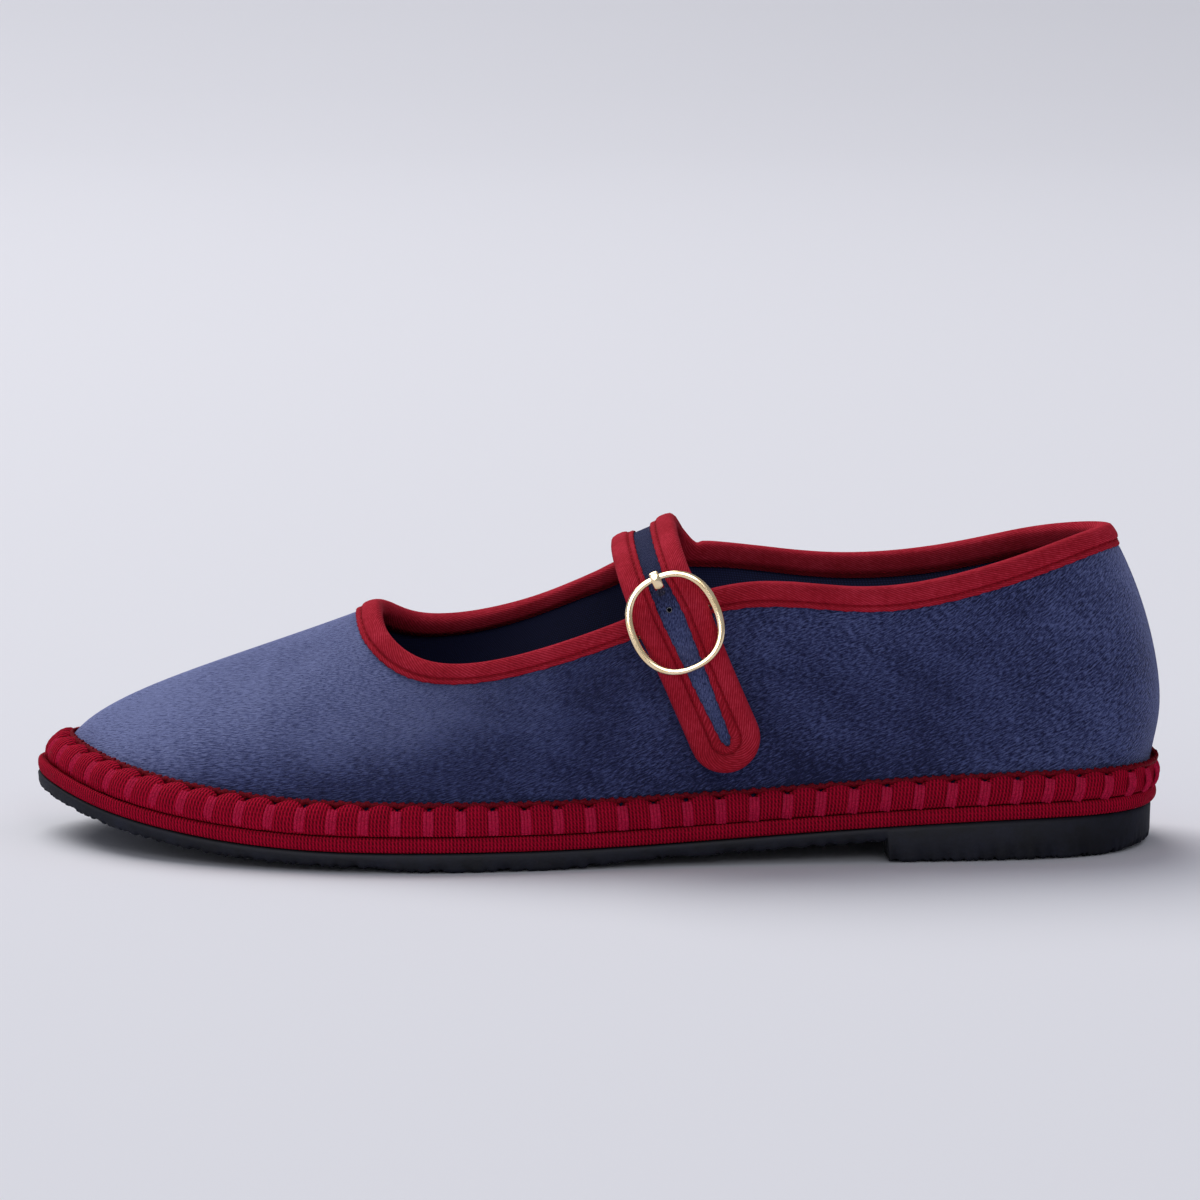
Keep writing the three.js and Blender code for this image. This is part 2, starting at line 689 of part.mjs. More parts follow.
// A rod of even section along a path of points with a fixed side direction
function rod(path, side, wide, thick, corners, looped) {
  const count = path.length;
  const rings = path.map((point, i) => {
    const before = looped ? path[(i + count - 1) % count] : path[Math.max(0, i - 1)];
    const after = looped ? path[(i + 1) % count] : path[Math.min(count - 1, i + 1)];
    const run = after.clone().sub(before).normalize();
    const way = side(i).clone();
    way.addScaledVector(run, -way.dot(run)).normalize();
    const other = run.cross(way).normalize();
    return Array.from({ length: corners }, (_, k) => {
      const turn = (k + 0.5) * TURN / corners;
      const grow = corners === 4 ? Math.SQRT2 : 1;   // a strip gets its full width
      return point.clone().addScaledVector(way, grow * Math.cos(turn) * wide / 2)
        .addScaledVector(other, grow * Math.sin(turn) * thick / 2);
    });
  });
  return loft(rings, looped);
}

function buckleRing() {
  const power = 2 / RING_POWER;
  const round = (v) => Math.sign(v) * Math.abs(v) ** power;
  const path = Array.from({ length: RING_STEPS }, (_, i) => {
    const turn = (i + 0.5) * TURN / RING_STEPS;
    return buckleSpace(ringTall * round(Math.cos(turn)), ringWide * round(Math.sin(turn)),
      RING_OFF);
  });
  const ring = rod(path, () => barFrame.out, WIRE, WIRE, 8, true);
  const drop = RING_OFF - BAR_OFF;
  const side = DIP.map(([across, down]) => [across * ringWide, RING_OFF - down * drop]);
  const bar = [...side, ...side.slice(0, -1).reverse().map(([across, off]) => [-across, off])];
  const barPath = bar.map(([across, off]) => buckleSpace(0, across, off));
  const barWire = WIRE * 0.93;
  const barRod = rod(barPath, () => barFrame.run, barWire, barWire, 8, false);
  return fromManifold(toManifold(ring).add(toManifold(barRod)));
}

// Away from the bar and under the strap a part follows the strap; elsewhere, the buckle
function underOrOver(down, off) {
  const nearRing = off > 0 || Math.abs(down) < 2;
  return nearRing ? buckleSpace(down, 0, off) : strapPoint(BAR_AT + down, 0, off);
}

// The prong hooks the bar, runs up under the strap, comes out and lies over the ring
function buckleProng() {
  const under = -WALL - GAP - PRONG / 2;
  const over = RING_OFF + WIRE / 2 + GAP + PRONG / 2;
  const path = [
    [WIRE, BAR_OFF - 0.13 * WIRE],
    [0.87 * WIRE, BAR_OFF + WIRE / 2],
    [0.33 * WIRE, under],
    [-WIRE, under],
    [-ringTall + 3 * WIRE, under],
    [-ringTall + 2.35 * WIRE, under + WALL / 3],
    [-ringTall + 1.75 * WIRE, WALL / 2],
    [-ringTall + 1.2 * WIRE, over - WIRE / 3],
    [-ringTall, over],
    [-ringTall - 0.9 * WIRE, over - WIRE / 5],
  ].map(([down, off]) => underOrOver(down, off));
  return rod(path, () => barFrame.width, PRONG_WIDTH, PRONG, 4, false);
}

// How far the strap's outer face stands off the wall, below the bar
function liftAt(down) {
  const place = strapPoint(BAR_AT + down, 0, 0);
  const foot = outerWall(alongOf(place), place.z);
  return place.sub(foot).dot(barFrame.out);
}

// The keeper lies on the wall, climbs over the collar tape and turns up behind the bar
function buckleTab() {
  const onWall = (down) => GAP + TAB / 2 - liftAt(down);
  const pastTape = TAPE_COVER - BAR_DROP;
  const stand = WIRE / 2 + GAP + TAB / 2;
  const path = [
    [TAB_REACH, onWall(TAB_REACH)],
    [TAB_REACH / 2 + pastTape, onWall(TAB_REACH / 2 + pastTape)],
    [pastTape + 4 * TAB, onWall(pastTape + 4 * TAB) + GAP],
    [pastTape + TAB, onWall(pastTape + TAB) + TAPE_BULGE],
    [TAB, BAR_OFF - stand],
    [-stand * 0.7, BAR_OFF - stand * 0.7],
    [-stand, BAR_OFF],
    [-stand * 0.95, BAR_OFF + TAB / 2],
  ].map(([down, off]) => underOrOver(down, off));
  return rod(path, () => barFrame.width, TAB_WIDTH, TAB, 4, false);
}

const shoe = new THREE.Group();
function piece(name, geometry, color, roughness, metalness) {
  const material = new THREE.MeshStandardMaterial({ color, roughness, metalness });
  const mesh = new THREE.Mesh(geometry, material);
  mesh.name = name;
  shoe.add(mesh);
}
const VELVET = 0x3c4169;
const CRIMSON = 0x9b1228;
piece('outsole', outsole(), 0x1b1c20, 0.8, 0);
piece('midsole', midsole(), CRIMSON, 0.85, 0);
piece('welt_band', weltBand(), CRIMSON, 0.85, 0);
piece('insole', insole(), 0x2a2c45, 0.9, 0);
piece('upper', upper(), VELVET, 0.95, 0);
piece('strap', strapCore(), VELVET, 0.95, 0);
piece('binding', tape(), 0xaa1e2d, 0.85, 0);
piece('buckle_ring', buckleRing(), 0xcdbb8c, 0.3, 1);
piece('buckle_prong', buckleProng(), 0xcdbb8c, 0.3, 1);
piece('buckle_tab', buckleTab(), 0xaa1e2d, 0.85, 0);

export default shoe;
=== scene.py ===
import math

import bmesh
import bpy
import numpy as np
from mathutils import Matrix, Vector


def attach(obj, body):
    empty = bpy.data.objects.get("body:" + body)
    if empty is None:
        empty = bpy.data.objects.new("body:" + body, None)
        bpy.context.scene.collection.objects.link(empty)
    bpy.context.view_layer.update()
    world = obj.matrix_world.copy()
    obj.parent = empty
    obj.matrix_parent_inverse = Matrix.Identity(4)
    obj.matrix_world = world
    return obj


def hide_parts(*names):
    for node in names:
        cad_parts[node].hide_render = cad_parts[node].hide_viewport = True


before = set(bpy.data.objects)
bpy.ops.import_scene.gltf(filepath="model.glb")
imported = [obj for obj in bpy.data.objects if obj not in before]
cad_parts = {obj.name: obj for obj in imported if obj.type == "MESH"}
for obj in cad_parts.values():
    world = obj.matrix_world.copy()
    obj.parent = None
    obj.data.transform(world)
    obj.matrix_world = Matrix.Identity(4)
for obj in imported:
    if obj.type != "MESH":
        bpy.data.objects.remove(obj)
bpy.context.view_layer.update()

bl_info = {
    "name": "Mary jane ballet flat",
    "version": (1, 0, 0),
    "blender": (4, 5, 0),
    "location": "View3D > Sidebar > Shoe",
    "description": "Dresses the packed shoe in velvet, tape, ribbon, rubber and gilt",
    "category": "Object",
}

# A millimetre in Blender's metres, and a metre in the shape's millimetres
MM = 0.001
METRE = 1000

# Millimetres, as in the part's source
LENGTH = 252
HALF_BALL = 44
BACK_HEIGHT = 70
RUBBER = 3.2
BALL_EXTRA = 1.05
BALL_LEVEL = 4.2
HEEL_RISE = 5.05
TOE_SPRING = 9.5
HEEL_LENGTH = 61
HEEL_INSET = 1.2
MIDSOLE = 3.3
BAND_HEIGHT = 6.2
BAND_STEP = 0.6
TOE_STEP = 1.3
TOE_START = 0.86
FEATHER = 4
WALL = 1.6
INSOLE = 2.2
TAPE = 0.9
TAPE_COVER = 4.5
STRAP_HALF = 6.55
STRAP_SPREAD = 0.5
SPREAD_POWER = 4
STRAP_LEAN = math.radians(23.5)
STRAP_ALONG = 110
STRAP_TAIL = 37.4
STRAP_CREST = 13.4
WIRE = 1.5
BUCKLE_HEIGHT = 22.6
BUCKLE_WIDTH = 20.6
BAR_DROP = 2.6
RING_OFF = 1.5
PRONG = 0.9
TAB = 0.6
TAB_WIDTH = 9
TAB_REACH = 10.5
GAP = 0.3
TURN = 2 * math.pi

# Sole edge across; collar edge along, across and height; every 15 degrees from the heel back
STATIONS = [
    (0.023, 0.046, 0.02, 1.004), (-0.330, 0.065, -0.23, 1.003),
    (-0.568, 0.115, -0.43, 0.955), (-0.677, 0.183, -0.545, 0.890),
    (-0.718, 0.270, -0.605, 0.854), (-0.768, 0.373, -0.645, 0.870),
    (-0.877, 0.480, -0.67, 0.751), (-0.986, 0.579, -0.636, 0.634),
    (-0.936, 0.647, -0.523, 0.614), (-0.727, 0.681, -0.34, 0.671),
    (-0.432, 0.692, -0.18, 0.717), (-0.060, 0.695, -0.023, 0.745),
    (0.245, 0.695, 0.114, 0.747), (0.515, 0.694, 0.25, 0.735),
    (0.740, 0.685, 0.398, 0.714), (0.900, 0.661, 0.523, 0.671),
    (0.991, 0.613, 0.605, 0.667), (0.920, 0.544, 0.614, 0.731),
    (0.739, 0.472, 0.55, 0.845), (0.636, 0.399, 0.555, 0.898),
    (0.650, 0.294, 0.572, 0.862), (0.655, 0.190, 0.525, 0.890),
    (0.568, 0.115, 0.405, 0.955), (0.352, 0.065, 0.24, 0.990),
]
# Foot step, rise, swell, reach and top slope of the wall, every 30 degrees
WALLS = [
    (0.75, 0.20, 0.114, 0.257, 58), (0.75, 0.20, 0.086, 0.257, 64),
    (0.80, 0.23, 0.043, 0.257, 78), (0.90, 0.23, 0.021, 0.229, 74),
    (1.05, 0.186, 0.014, 0.229, 48), (1.30, 0.186, 0.014, 0.343, 30),
    (1.50, 0.20, 0, 0.571, 21.5), (1.30, 0.186, 0.014, 0.343, 30),
    (1.05, 0.186, 0.014, 0.20, 52), (0.90, 0.23, 0.007, 0.20, 74),
    (0.80, 0.23, 0.043, 0.257, 78), (0.75, 0.20, 0.086, 0.257, 64),
]
ARCH = [
    (0.518, 0.56), (0.466, 0.71), (0.364, 0.86), (0.205, 0.97), (0, 1.01),
    (-0.227, 0.98), (-0.455, 0.86), (-0.61, 0.71), (-0.735, 0.475),
]
TAPE_BULGE = GAP + TAPE * 1.17
LIE = GAP + TAPE_BULGE + WALL
BAR_LIFT = LIE + TAPE_BULGE + TAB + WIRE + 3 * GAP
FALL = [(-0.045, 0.9), (BAR_DROP / STRAP_TAIL, 1), (0.23, 0.72), (0.4, 0.28), (0.58, 0.04),
        (0.8, 0), (1, 0)]
ROOT_FRONT, ROOT_REAR = math.radians(269.2), math.radians(282.4)
BAR_OFF = -(WALL + TAPE_BULGE + GAP + WIRE / 2)

# Millimetres of the finer shapes that only this script makes
BACK_TUCK = 2.2
BACK_BEVEL = 1.6
TREAD_DEPTH = 0.22
TREAD_STEP = 4.5
BREAST_CLEAR = 5
SPARE_HOLE = 3
# Steps that a closed edge or line is cut into
EDGE_STEPS = 2000
COLLAR_STEPS = 76
STRAP_STEPS = 19
WIRE_STEPS = 240


# Shape of the last: angle goes round the shoe from the heel back by the outer side
def ease(value):
    """Smooth step from 0 to 1."""
    share = np.clip(value, 0, 1)
    return share * share * (3 - 2 * share)


def unit(v):
    return v / np.linalg.norm(v, axis=-1, keepdims=True)


def walked(points):
    """Distance from the first point to each, walking from point to point."""
    legs = np.linalg.norm(np.diff(points, axis=0), axis=1)
    return np.concatenate([[0], np.cumsum(legs)])


def read_line(places, run, values):
    """Three values at each place on a line whose points lie at run."""
    return np.stack([np.interp(places, run, values[:, k]) for k in range(3)], -1)


def loop_table(rows):
    """A smooth closed run through rows of values, as a function of the angle."""
    rows = np.array(rows, float)
    knots = rows.copy()
    for _ in range(40):
        knots = (6 * rows - np.roll(knots, 1, 0) - np.roll(knots, -1, 0)) / 4
    count = len(rows)

    def at(angle):
        place = np.mod(np.asarray(angle) / TURN, 1) * count
        i = np.floor(place).astype(int) % count
        u = (place - np.floor(place))[..., None]
        weights = ((1 - u) ** 3 / 6, (3 * u ** 3 - 6 * u * u + 4) / 6,
                   (-3 * u ** 3 + 3 * u * u + 3 * u + 1) / 6, u ** 3 / 6)
        return sum(w * knots[(i - 1 + j) % count] for j, w in enumerate(weights))
    return at


station_at = loop_table(STATIONS)
wall_at = loop_table(WALLS)


def rubber_top(along):
    heel = ease((0.556 * LENGTH - along) / (0.476 * LENGTH))
    toe = np.clip((along - 0.675 * LENGTH) / (0.325 * LENGTH), 0, 1)
    return BALL_LEVEL + HEEL_RISE * heel + TOE_SPRING * toe ** 2.6


def rubber_bottom(along):
    ball = ease((along / LENGTH - 0.46) / 0.07) * ease((0.71 - along / LENGTH) / 0.07)
    low = np.maximum(0, rubber_top(along) - RUBBER - BALL_EXTRA * ball)
    return np.where(along <= HEEL_LENGTH + 0.01, 0, low)


def foot_level(along):
    return rubber_top(along) + MIDSOLE + 2 * GAP


def sole_edge(angle, inset=0.0):
    """Points on the sole's edge seen from above, or inset from it."""
    angle = np.asarray(angle, float)

    def raw(a):
        across = HALF_BALL * station_at(a)[..., 0]
        return np.stack([LENGTH / 2 * np.cos(a), across, np.zeros_like(a)], -1)
    run = unit(raw(angle + 1e-4) - raw(angle - 1e-4))
    inward = np.stack([run[..., 1], -run[..., 0], np.zeros_like(angle)], -1)
    return raw(angle) + inward * np.broadcast_to(inset, angle.shape)[..., None]


def skin(angle, share):
    """Points on the upper's outside: share runs from its foot to the collar."""
    angle, share = np.broadcast_arrays(np.asarray(angle, float), np.asarray(share, float))
    foot, rise, swell, reach, slope = np.moveaxis(wall_at(angle), -1, 0)
    _, along, across, height = np.moveaxis(station_at(angle), -1, 0)
    base = sole_edge(angle, foot * FEATHER)
    base[..., 2] = foot_level(LENGTH / 2 - base[..., 0])
    top = np.stack([LENGTH / 2 - along * LENGTH, across * HALF_BALL, height * BACK_HEIGHT], -1)
    lean = unit((top - base) * (1, 1, 0))
    up = np.array([0, 0, 1.0])
    slope = np.radians(slope)
    low = base - lean * (swell * BACK_HEIGHT)[..., None] + up * (rise * BACK_HEIGHT)[..., None]
    high = top - (lean * np.cos(slope)[..., None] + up * np.sin(slope)[..., None]) \
        * (reach * BACK_HEIGHT)[..., None]
    t = share[..., None]
    return (base * (1 - t) ** 3 + 3 * low * t * (1 - t) ** 2 + 3 * high * t * t * (1 - t)
            + top * t ** 3)


def skin_normal(angle, share):
    angle, share = np.broadcast_arrays(np.asarray(angle, float), np.asarray(share, float))
    up = skin(angle, np.clip(share + 1e-3, 0, 1)) - skin(angle, np.clip(share - 1e-3, 0, 1))
    run = skin(angle + 1e-3, share) - skin(angle - 1e-3, share)
    return unit(np.cross(up, run))


def climb(angle, count=64):
    """Distances up the skin from its foot, at even shares."""
    shares = np.linspace(0, 1, count + 1)
    points = skin(np.asarray(angle)[..., None], shares)
    legs = np.linalg.norm(np.diff(points, axis=-2), axis=-1)
    return shares, np.concatenate([np.zeros_like(legs[..., :1]), np.cumsum(legs, -1)], -1)


def share_up(angle, distance):
    """Share on the skin at a distance from the foot, or from the collar when it is negative."""
    angle, distance = np.broadcast_arrays(np.asarray(angle, float), np.asarray(distance, float))
    shares, heights = climb(angle)
    out = np.empty(angle.shape)
    for k in np.ndindex(angle.shape):
        goal = distance[k] if distance[k] >= 0 else heights[k][-1] + distance[k]
        out[k] = np.interp(goal, heights[k], shares)
    return out


def outer_wall(along, height):
    """Point on the outer side of the skin, found by its place along and its height."""
    angle = np.arccos(1 - 2 * along / LENGTH)
    share = 0.8
    for _ in range(12):
        here = skin(angle, share)
        by_angle = (skin(angle + 1e-3, share) - here) / 1e-3
        by_share = (skin(angle, share + 1e-3) - here) / 1e-3
        dx, dz = LENGTH / 2 - along - here[0], height - here[2]
        det = by_angle[0] * by_share[2] - by_angle[2] * by_share[0]
        angle += (dx * by_share[2] - dz * by_share[0]) / det
        share += (by_angle[0] * dz - by_angle[2] * dx) / det
    return skin(angle, share)


# Strap: nodes from its root to its tip, then a smooth line through them
WIDTH_WAY = np.array([math.cos(STRAP_LEAN), 0, math.sin(STRAP_LEAN)])
RISE_WAY = np.array([-math.sin(STRAP_LEAN), 0, math.cos(STRAP_LEAN)])


def outer_collar(along):
    angle = math.acos(1 - 2 * along / LENGTH)
    for _ in range(12):
        angle += (along / LENGTH - station_at(angle)[1]) * 2
    return skin(angle, 1.0)


COLLAR_HEIGHT = outer_collar(STRAP_ALONG)[2]


def plane_point(across, rise):
    return np.array([LENGTH / 2 - STRAP_ALONG, across, COLLAR_HEIGHT]) + RISE_WAY * rise


def strap_nodes():
    """Middle, width direction and half width of the strap at each node of its line."""
    ends = []
    for angle in (ROOT_FRONT, ROOT_REAR):
        ends.append(skin(angle, 1.0) + unit(skin(angle, 1.0) - skin(angle, 0.97)) * 3 * GAP)
    nodes = [((ends[0] + ends[1]) / 2, unit(ends[1] - ends[0]),
              np.linalg.norm(ends[1] - ends[0]) / 2)]
    for across, rise in ARCH:
        nodes.append((plane_point(across * HALF_BALL, rise * STRAP_CREST), WIDTH_WAY, STRAP_HALF))
    for drop, lift in FALL:
        middle = plane_point(0, -drop * STRAP_TAIL)
        sides = []
        for across in (-STRAP_HALF, STRAP_HALF):
            target = middle + WIDTH_WAY * across
            sides.append(outer_wall(LENGTH / 2 - target[0], target[2]))
        width = unit(sides[1] - sides[0])
        out = unit(np.cross(width, RISE_WAY))
        stand = LIE + lift * (BAR_LIFT - LIE)
        half = STRAP_HALF + STRAP_SPREAD * lift ** SPREAD_POWER
        nodes.append(((sides[0] + sides[1]) / 2 + out * stand, width, half))
    return nodes


NODES = strap_nodes()


def smooth_line(points, places):
    """A centripetal curve through points; places run from 0 to the last point's number."""
    points = np.array(points)
    ends = np.vstack([2 * points[0] - points[1], points, 2 * points[-1] - points[-2]])
    i = np.minimum(np.floor(places).astype(int), len(points) - 2)
    w = (places - i)[:, None]
    x0, x1, x2, x3 = (ends[i + k] for k in range(4))
    d0, d1, d2 = (np.sqrt(np.linalg.norm(b - a, axis=1))[:, None]
                  for a, b in ((x0, x1), (x1, x2), (x2, x3)))
    t1 = ((x1 - x0) / d0 - (x2 - x0) / (d0 + d1) + (x2 - x1) / d1) * d1
    t2 = ((x2 - x1) / d1 - (x3 - x1) / (d1 + d2) + (x3 - x2) / d2) * d1
    return (x1 + t1 * w + (3 * (x2 - x1) - 2 * t1 - t2) * w ** 2
            + (2 * (x1 - x2) + t1 + t2) * w ** 3)


LINE_PLACES = np.linspace(0, len(NODES) - 1, 1601)
LINE = smooth_line([n[0] for n in NODES], LINE_PLACES)
LINE_RUN = walked(LINE)
STRAP_LENGTH = LINE_RUN[-1]
BAR_AT = np.interp(len(ARCH) + 2, LINE_PLACES, LINE_RUN)


def strap_frame(s):
    """Middle of the strap, its run, width and outward directions, and its half width at s."""
    s = np.atleast_1d(np.asarray(s, float))
    inside = np.clip(s, 0, STRAP_LENGTH)
    centre = read_line(inside, LINE_RUN, LINE)
    ahead = np.clip(inside + 0.1, 0, STRAP_LENGTH)
    behind = np.clip(inside - 0.1, 0, STRAP_LENGTH)
    run = unit(read_line(ahead, LINE_RUN, LINE) - read_line(behind, LINE_RUN, LINE))
    place = np.interp(inside, LINE_RUN, LINE_PLACES)
    i = np.minimum(np.floor(place).astype(int), len(NODES) - 2)
    share = ease(place - i)[:, None]
    ways = np.array([n[1] for n in NODES])
    halves = np.array([n[2] for n in NODES])
    width = ways[i] * (1 - share) + ways[i + 1] * share
    width = unit(width - run * np.sum(width * run, -1, keepdims=True))
    half = halves[i] * (1 - share[:, 0]) + halves[i + 1] * share[:, 0]
    return centre + run * (s - inside)[:, None], run, width, np.cross(run, width), half


def strap_point(s, across, off):
    centre, _, width, out, _ = strap_frame(s)
    across = np.broadcast_to(across, centre.shape[:1])[:, None]
    off = np.broadcast_to(off, centre.shape[:1])[:, None]
    return centre + width * across + out * off


BAR = [part[0] for part in strap_frame(BAR_AT)]


def buckle_space(down, across, off):
    """Point by how far down the strap from the bar, across it and off its back."""
    down, across, off = (np.asarray(v, float)[..., None] for v in (down, across, off))
    return BAR[0] + BAR[1] * down + BAR[2] * across + BAR[3] * off


# Tape: edge, halfway and deep lines of what it covers
CORNER = [
    [("skin", -3.6, 0), ("skin", -3.4, 0.5), ("skin", -3.1, 1.04)],
    [("skin", -1.8, 0), ("skin", -1.2, 0.49), ("skin", -0.4, 1)],
    [("skin", -0.3, 0), ("skin", 0.8, 0.42), ("skin", 2.1, 0.84)],
    [("strap", 0.33, 0), ("skin", 2.1, 0.11), ("skin", 3.9, 0.44)],
    [("strap", 0.84, 0), ("strap", 0.73, 0.49), ("strap", 0.44, 0.98)],
]
DEPTHS = (0, TAPE_COVER / 2, TAPE_COVER * 1.05)
CORNER_EASE = 0.36 * TAPE
CORNER_CLEAR = math.radians(5.6)
STRAP_CLEAR = 1.33 * TAPE_COVER
GROOVE = 0.7 * TAPE_COVER


def skin_spot(angle, drop):
    share = share_up(angle, -drop) if drop > 0 else 1.0
    return np.concatenate([skin(angle, share), skin_normal(angle, share)])


def strap_spot(s, side, inset):
    _, _, _, out, half = strap_frame(s)
    return np.concatenate([strap_point(s, side * (half - inset), 0)[0], out[0]])


def tape_lines():
    """Array of nodes, lines and values: place and outward way; each node's looseness, and how
    much further its flange reaches in at the strap's tip, where it leaves a pointed end."""
    nodes, loose, pointed = [], [], []

    def add(spots, extra=0.0, point=0.0):
        nodes.append(spots)
        loose.append(extra)
        pointed.append(point)

    def corner(side, rows):
        end = ROOT_REAR if side > 0 else ROOT_FRONT
        for row in rows:
            add([strap_spot(a * TAPE_COVER, side, b * TAPE_COVER) if kind == "strap"
                 else skin_spot(end - side * math.radians(a), b * TAPE_COVER)
                 for kind, a, b in row], CORNER_EASE)

    def strap_side(side, steps):
        for i in steps:
            s = STRAP_CLEAR + (straight - STRAP_CLEAR) * i / STRAP_STEPS
            add([strap_spot(s, side, d) for d in DEPTHS], point=ease((i - 15) / 5))
    straight = STRAP_LENGTH - STRAP_HALF
    start = ROOT_REAR + CORNER_CLEAR
    sweep = ROOT_FRONT - CORNER_CLEAR + TURN - start
    for i in range(COLLAR_STEPS + 1):
        add([skin_spot(start + sweep * i / COLLAR_STEPS, d) for d in DEPTHS])
    corner(-1, CORNER)
    strap_side(-1, range(STRAP_STEPS + 1))
    tip_out = strap_frame(straight)[3][0]
    for turn in range(-70, 71, 20):
        c, s = math.cos(math.radians(turn)), math.sin(math.radians(turn))
        add([np.concatenate([strap_point(straight + (STRAP_HALF - d) * c,
                                         (STRAP_HALF - d) * s, 0)[0], tip_out]) for d in DEPTHS],
            point=1 - 0.7 * math.cos(math.radians(turn)) ** 6)
    strap_side(1, range(STRAP_STEPS, -1, -1))
    corner(1, CORNER[::-1])
    return np.array(nodes), np.array(loose), np.array(pointed)


def closed_spline(values, per):
    """A smooth closed run through rows of values, each step cut into per parts."""
    a, b, c, d = (np.roll(values, k, 0) for k in (1, 0, -1, -2))
    out = []
    for k in range(per):
        u = k / per
        out.append(0.5 * (2 * b + (c - a) * u + (2 * a - 5 * b + 4 * c - d) * u ** 2
                          + (3 * b - a - 3 * c + d) * u ** 3))
    return np.stack(out, 1).reshape(-1, *values.shape[1:])


def tape_at(lines, depth):
    """Places and outward ways on the tape's lines at a depth in from the edge."""
    i = 0 if depth < DEPTHS[1] else 1
    share = (depth - DEPTHS[i]) / (DEPTHS[i + 1] - DEPTHS[i])
    if depth < 0:
        inward = unit(lines[:, 1, :3] - lines[:, 0, :3])
        return lines[:, 0, :3] + inward * depth, unit(lines[:, 0, 3:])
    mixed = lines[:, i] * (1 - share) + lines[:, i + 1] * share
    return mixed[:, :3], unit(mixed[:, 3:])


# Meshes
def make_object(name, mesh):
    obj = bpy.data.objects.new(name, mesh)
    bpy.context.scene.collection.objects.link(obj)
    return obj


def build_grid(name, points, close_rows=True, uv=None, slots=None, cap=False, weld=0.0,
               painted_light=None):
    """A mesh from rows of points in millimetres; each row is a closed ring. uv is in metres.

    A per point value, if given, holds painted light that the material reads: paler where the pile
    faces the sky or the cloth stands high, painted shade where it is low."""
    rows, cols = points.shape[:2]
    verts = points.reshape(-1, 3) * MM
    faces, face_uv, face_slot = [], [], []
    for r in range(rows if close_rows else rows - 1):
        n = (r + 1) % rows
        for j in range(cols):
            k = (j + 1) % cols
            faces.append((r * cols + j, r * cols + k, n * cols + k, n * cols + j))
            face_uv.append(((r, j), (r, j + 1), (r + 1, j + 1), (r + 1, j)))
            face_slot.append(slots[r] if slots else 0)
    if cap:
        for start in (0, (rows - 1) * cols):
            ring = [start + j for j in range(cols)]
            faces.append(tuple(reversed(ring)) if start == 0 else tuple(ring))
            face_uv.append(tuple((0, 0) for _ in ring))
            face_slot.append(slots[0] if slots else 0)
    mesh = bpy.data.meshes.new(name)
    mesh.from_pydata(verts.tolist(), [], faces)
    if slots:
        mesh.polygons.foreach_set("material_index", face_slot)
    if painted_light is not None:
        layer = mesh.attributes.new("painted_light", "FLOAT", "POINT")
        layer.data.foreach_set("value", np.asarray(painted_light, float).reshape(-1))
    if uv is not None:
        layer = mesh.uv_layers.new(name="cloth")
        flat = [uv[a][b] for quad in face_uv for a, b in quad]
        layer.data.foreach_set("uv", np.array(flat, float).reshape(-1))
    work = bmesh.new()
    work.from_mesh(mesh)
    if weld:
        bmesh.ops.remove_doubles(work, verts=work.verts, dist=weld * MM)
    if work.calc_volume(signed=True) < 0:
        bmesh.ops.reverse_faces(work, faces=work.faces)
    work.to_mesh(mesh)
    work.free()
    mesh.polygons.foreach_set("use_smooth", [True] * len(mesh.polygons))
    return make_object(name, mesh)


def rows_apart(points):
    """Mean distance of each row from the first, walking from row to row; one more to close."""
    closed = np.concatenate([points, points[:1]], 0)
    legs = np.linalg.norm(np.diff(closed, axis=0), axis=-1).mean(-1)
    return np.concatenate([[0], np.cumsum(legs)])


def cloth_uv(points):
    """Cloth coordinates in metres: along the rows by one row's own length, and across them."""
    closed = np.concatenate([points, points[:, :1]], 1)
    run = walked(closed[len(points) // 3])
    return [[(u * MM, v * MM) for u in run] for v in rows_apart(points)]


def rod_points(path, side, wide, thick, corners, looped=False, power=1.0):
    """Rings of a rod of even section along a path, with one side direction."""
    path = np.asarray(path, float)
    if looped:
        run = unit(np.roll(path, -1, 0) - np.roll(path, 1, 0))
    else:
        run = unit(np.gradient(path, axis=0))
    way = np.broadcast_to(side, path.shape)
    way = unit(way - run * np.sum(way * run, -1, keepdims=True))
    other = np.cross(run, way)
    wide = np.broadcast_to(wide, len(path))[:, None]
    thick = np.broadcast_to(thick, len(path))[:, None]
    rings = []
    for k in range(corners):
        turn = (k + 0.5) * TURN / corners
        c, s = math.cos(turn), math.sin(turn)
        c, s = (math.copysign(abs(v) ** power, v) for v in (c, s))
        rings.append(path + way * c * wide / 2 + other * s * thick / 2)
    return np.stack(rings, 1)


# Materials
def linear(code):
    """An sRGB hex colour as the linear RGBA that a shader wants."""
    parts = [int(code[i:i + 2], 16) / 255 for i in (1, 3, 5)]
    return [v / 12.92 if v <= 0.04045 else ((v + 0.055) / 1.055) ** 2.4 for v in parts] + [1.0]


def add_node(tree, kind, links=None, stops=(), **settings):
    """One node with its settings; links gives each input a value or another node's output, and
    stops gives a colour ramp its places and hex colours."""
    made = tree.nodes.new(kind)
    for name, value in settings.items():
        setattr(made, name, value)
    for name, value in (links or {}).items():
        if isinstance(value, bpy.types.NodeSocket):
            tree.links.new(value, made.inputs[name])
        else:
            made.inputs[name].default_value = value
    if stops:
        line = made.color_ramp.elements
        for element, (place, code) in zip(line, (stops[0], stops[-1])):
            element.position, element.color = place, linear(code)
        for place, code in stops[1:-1]:
            line.new(place).color = linear(code)
    return made


# A wave texture's scale that gives it one wave to a unit
WAVE = TURN / 20


def per(millimetres):
    """Texture scale that gives one pattern step of this size on coordinates in metres."""
    return METRE / millimetres


def new_material(name):
    material = bpy.data.materials.new(name)
    material.use_nodes = True
    tree = material.node_tree
    shader = tree.nodes["Principled BSDF"]
    return material, tree, shader


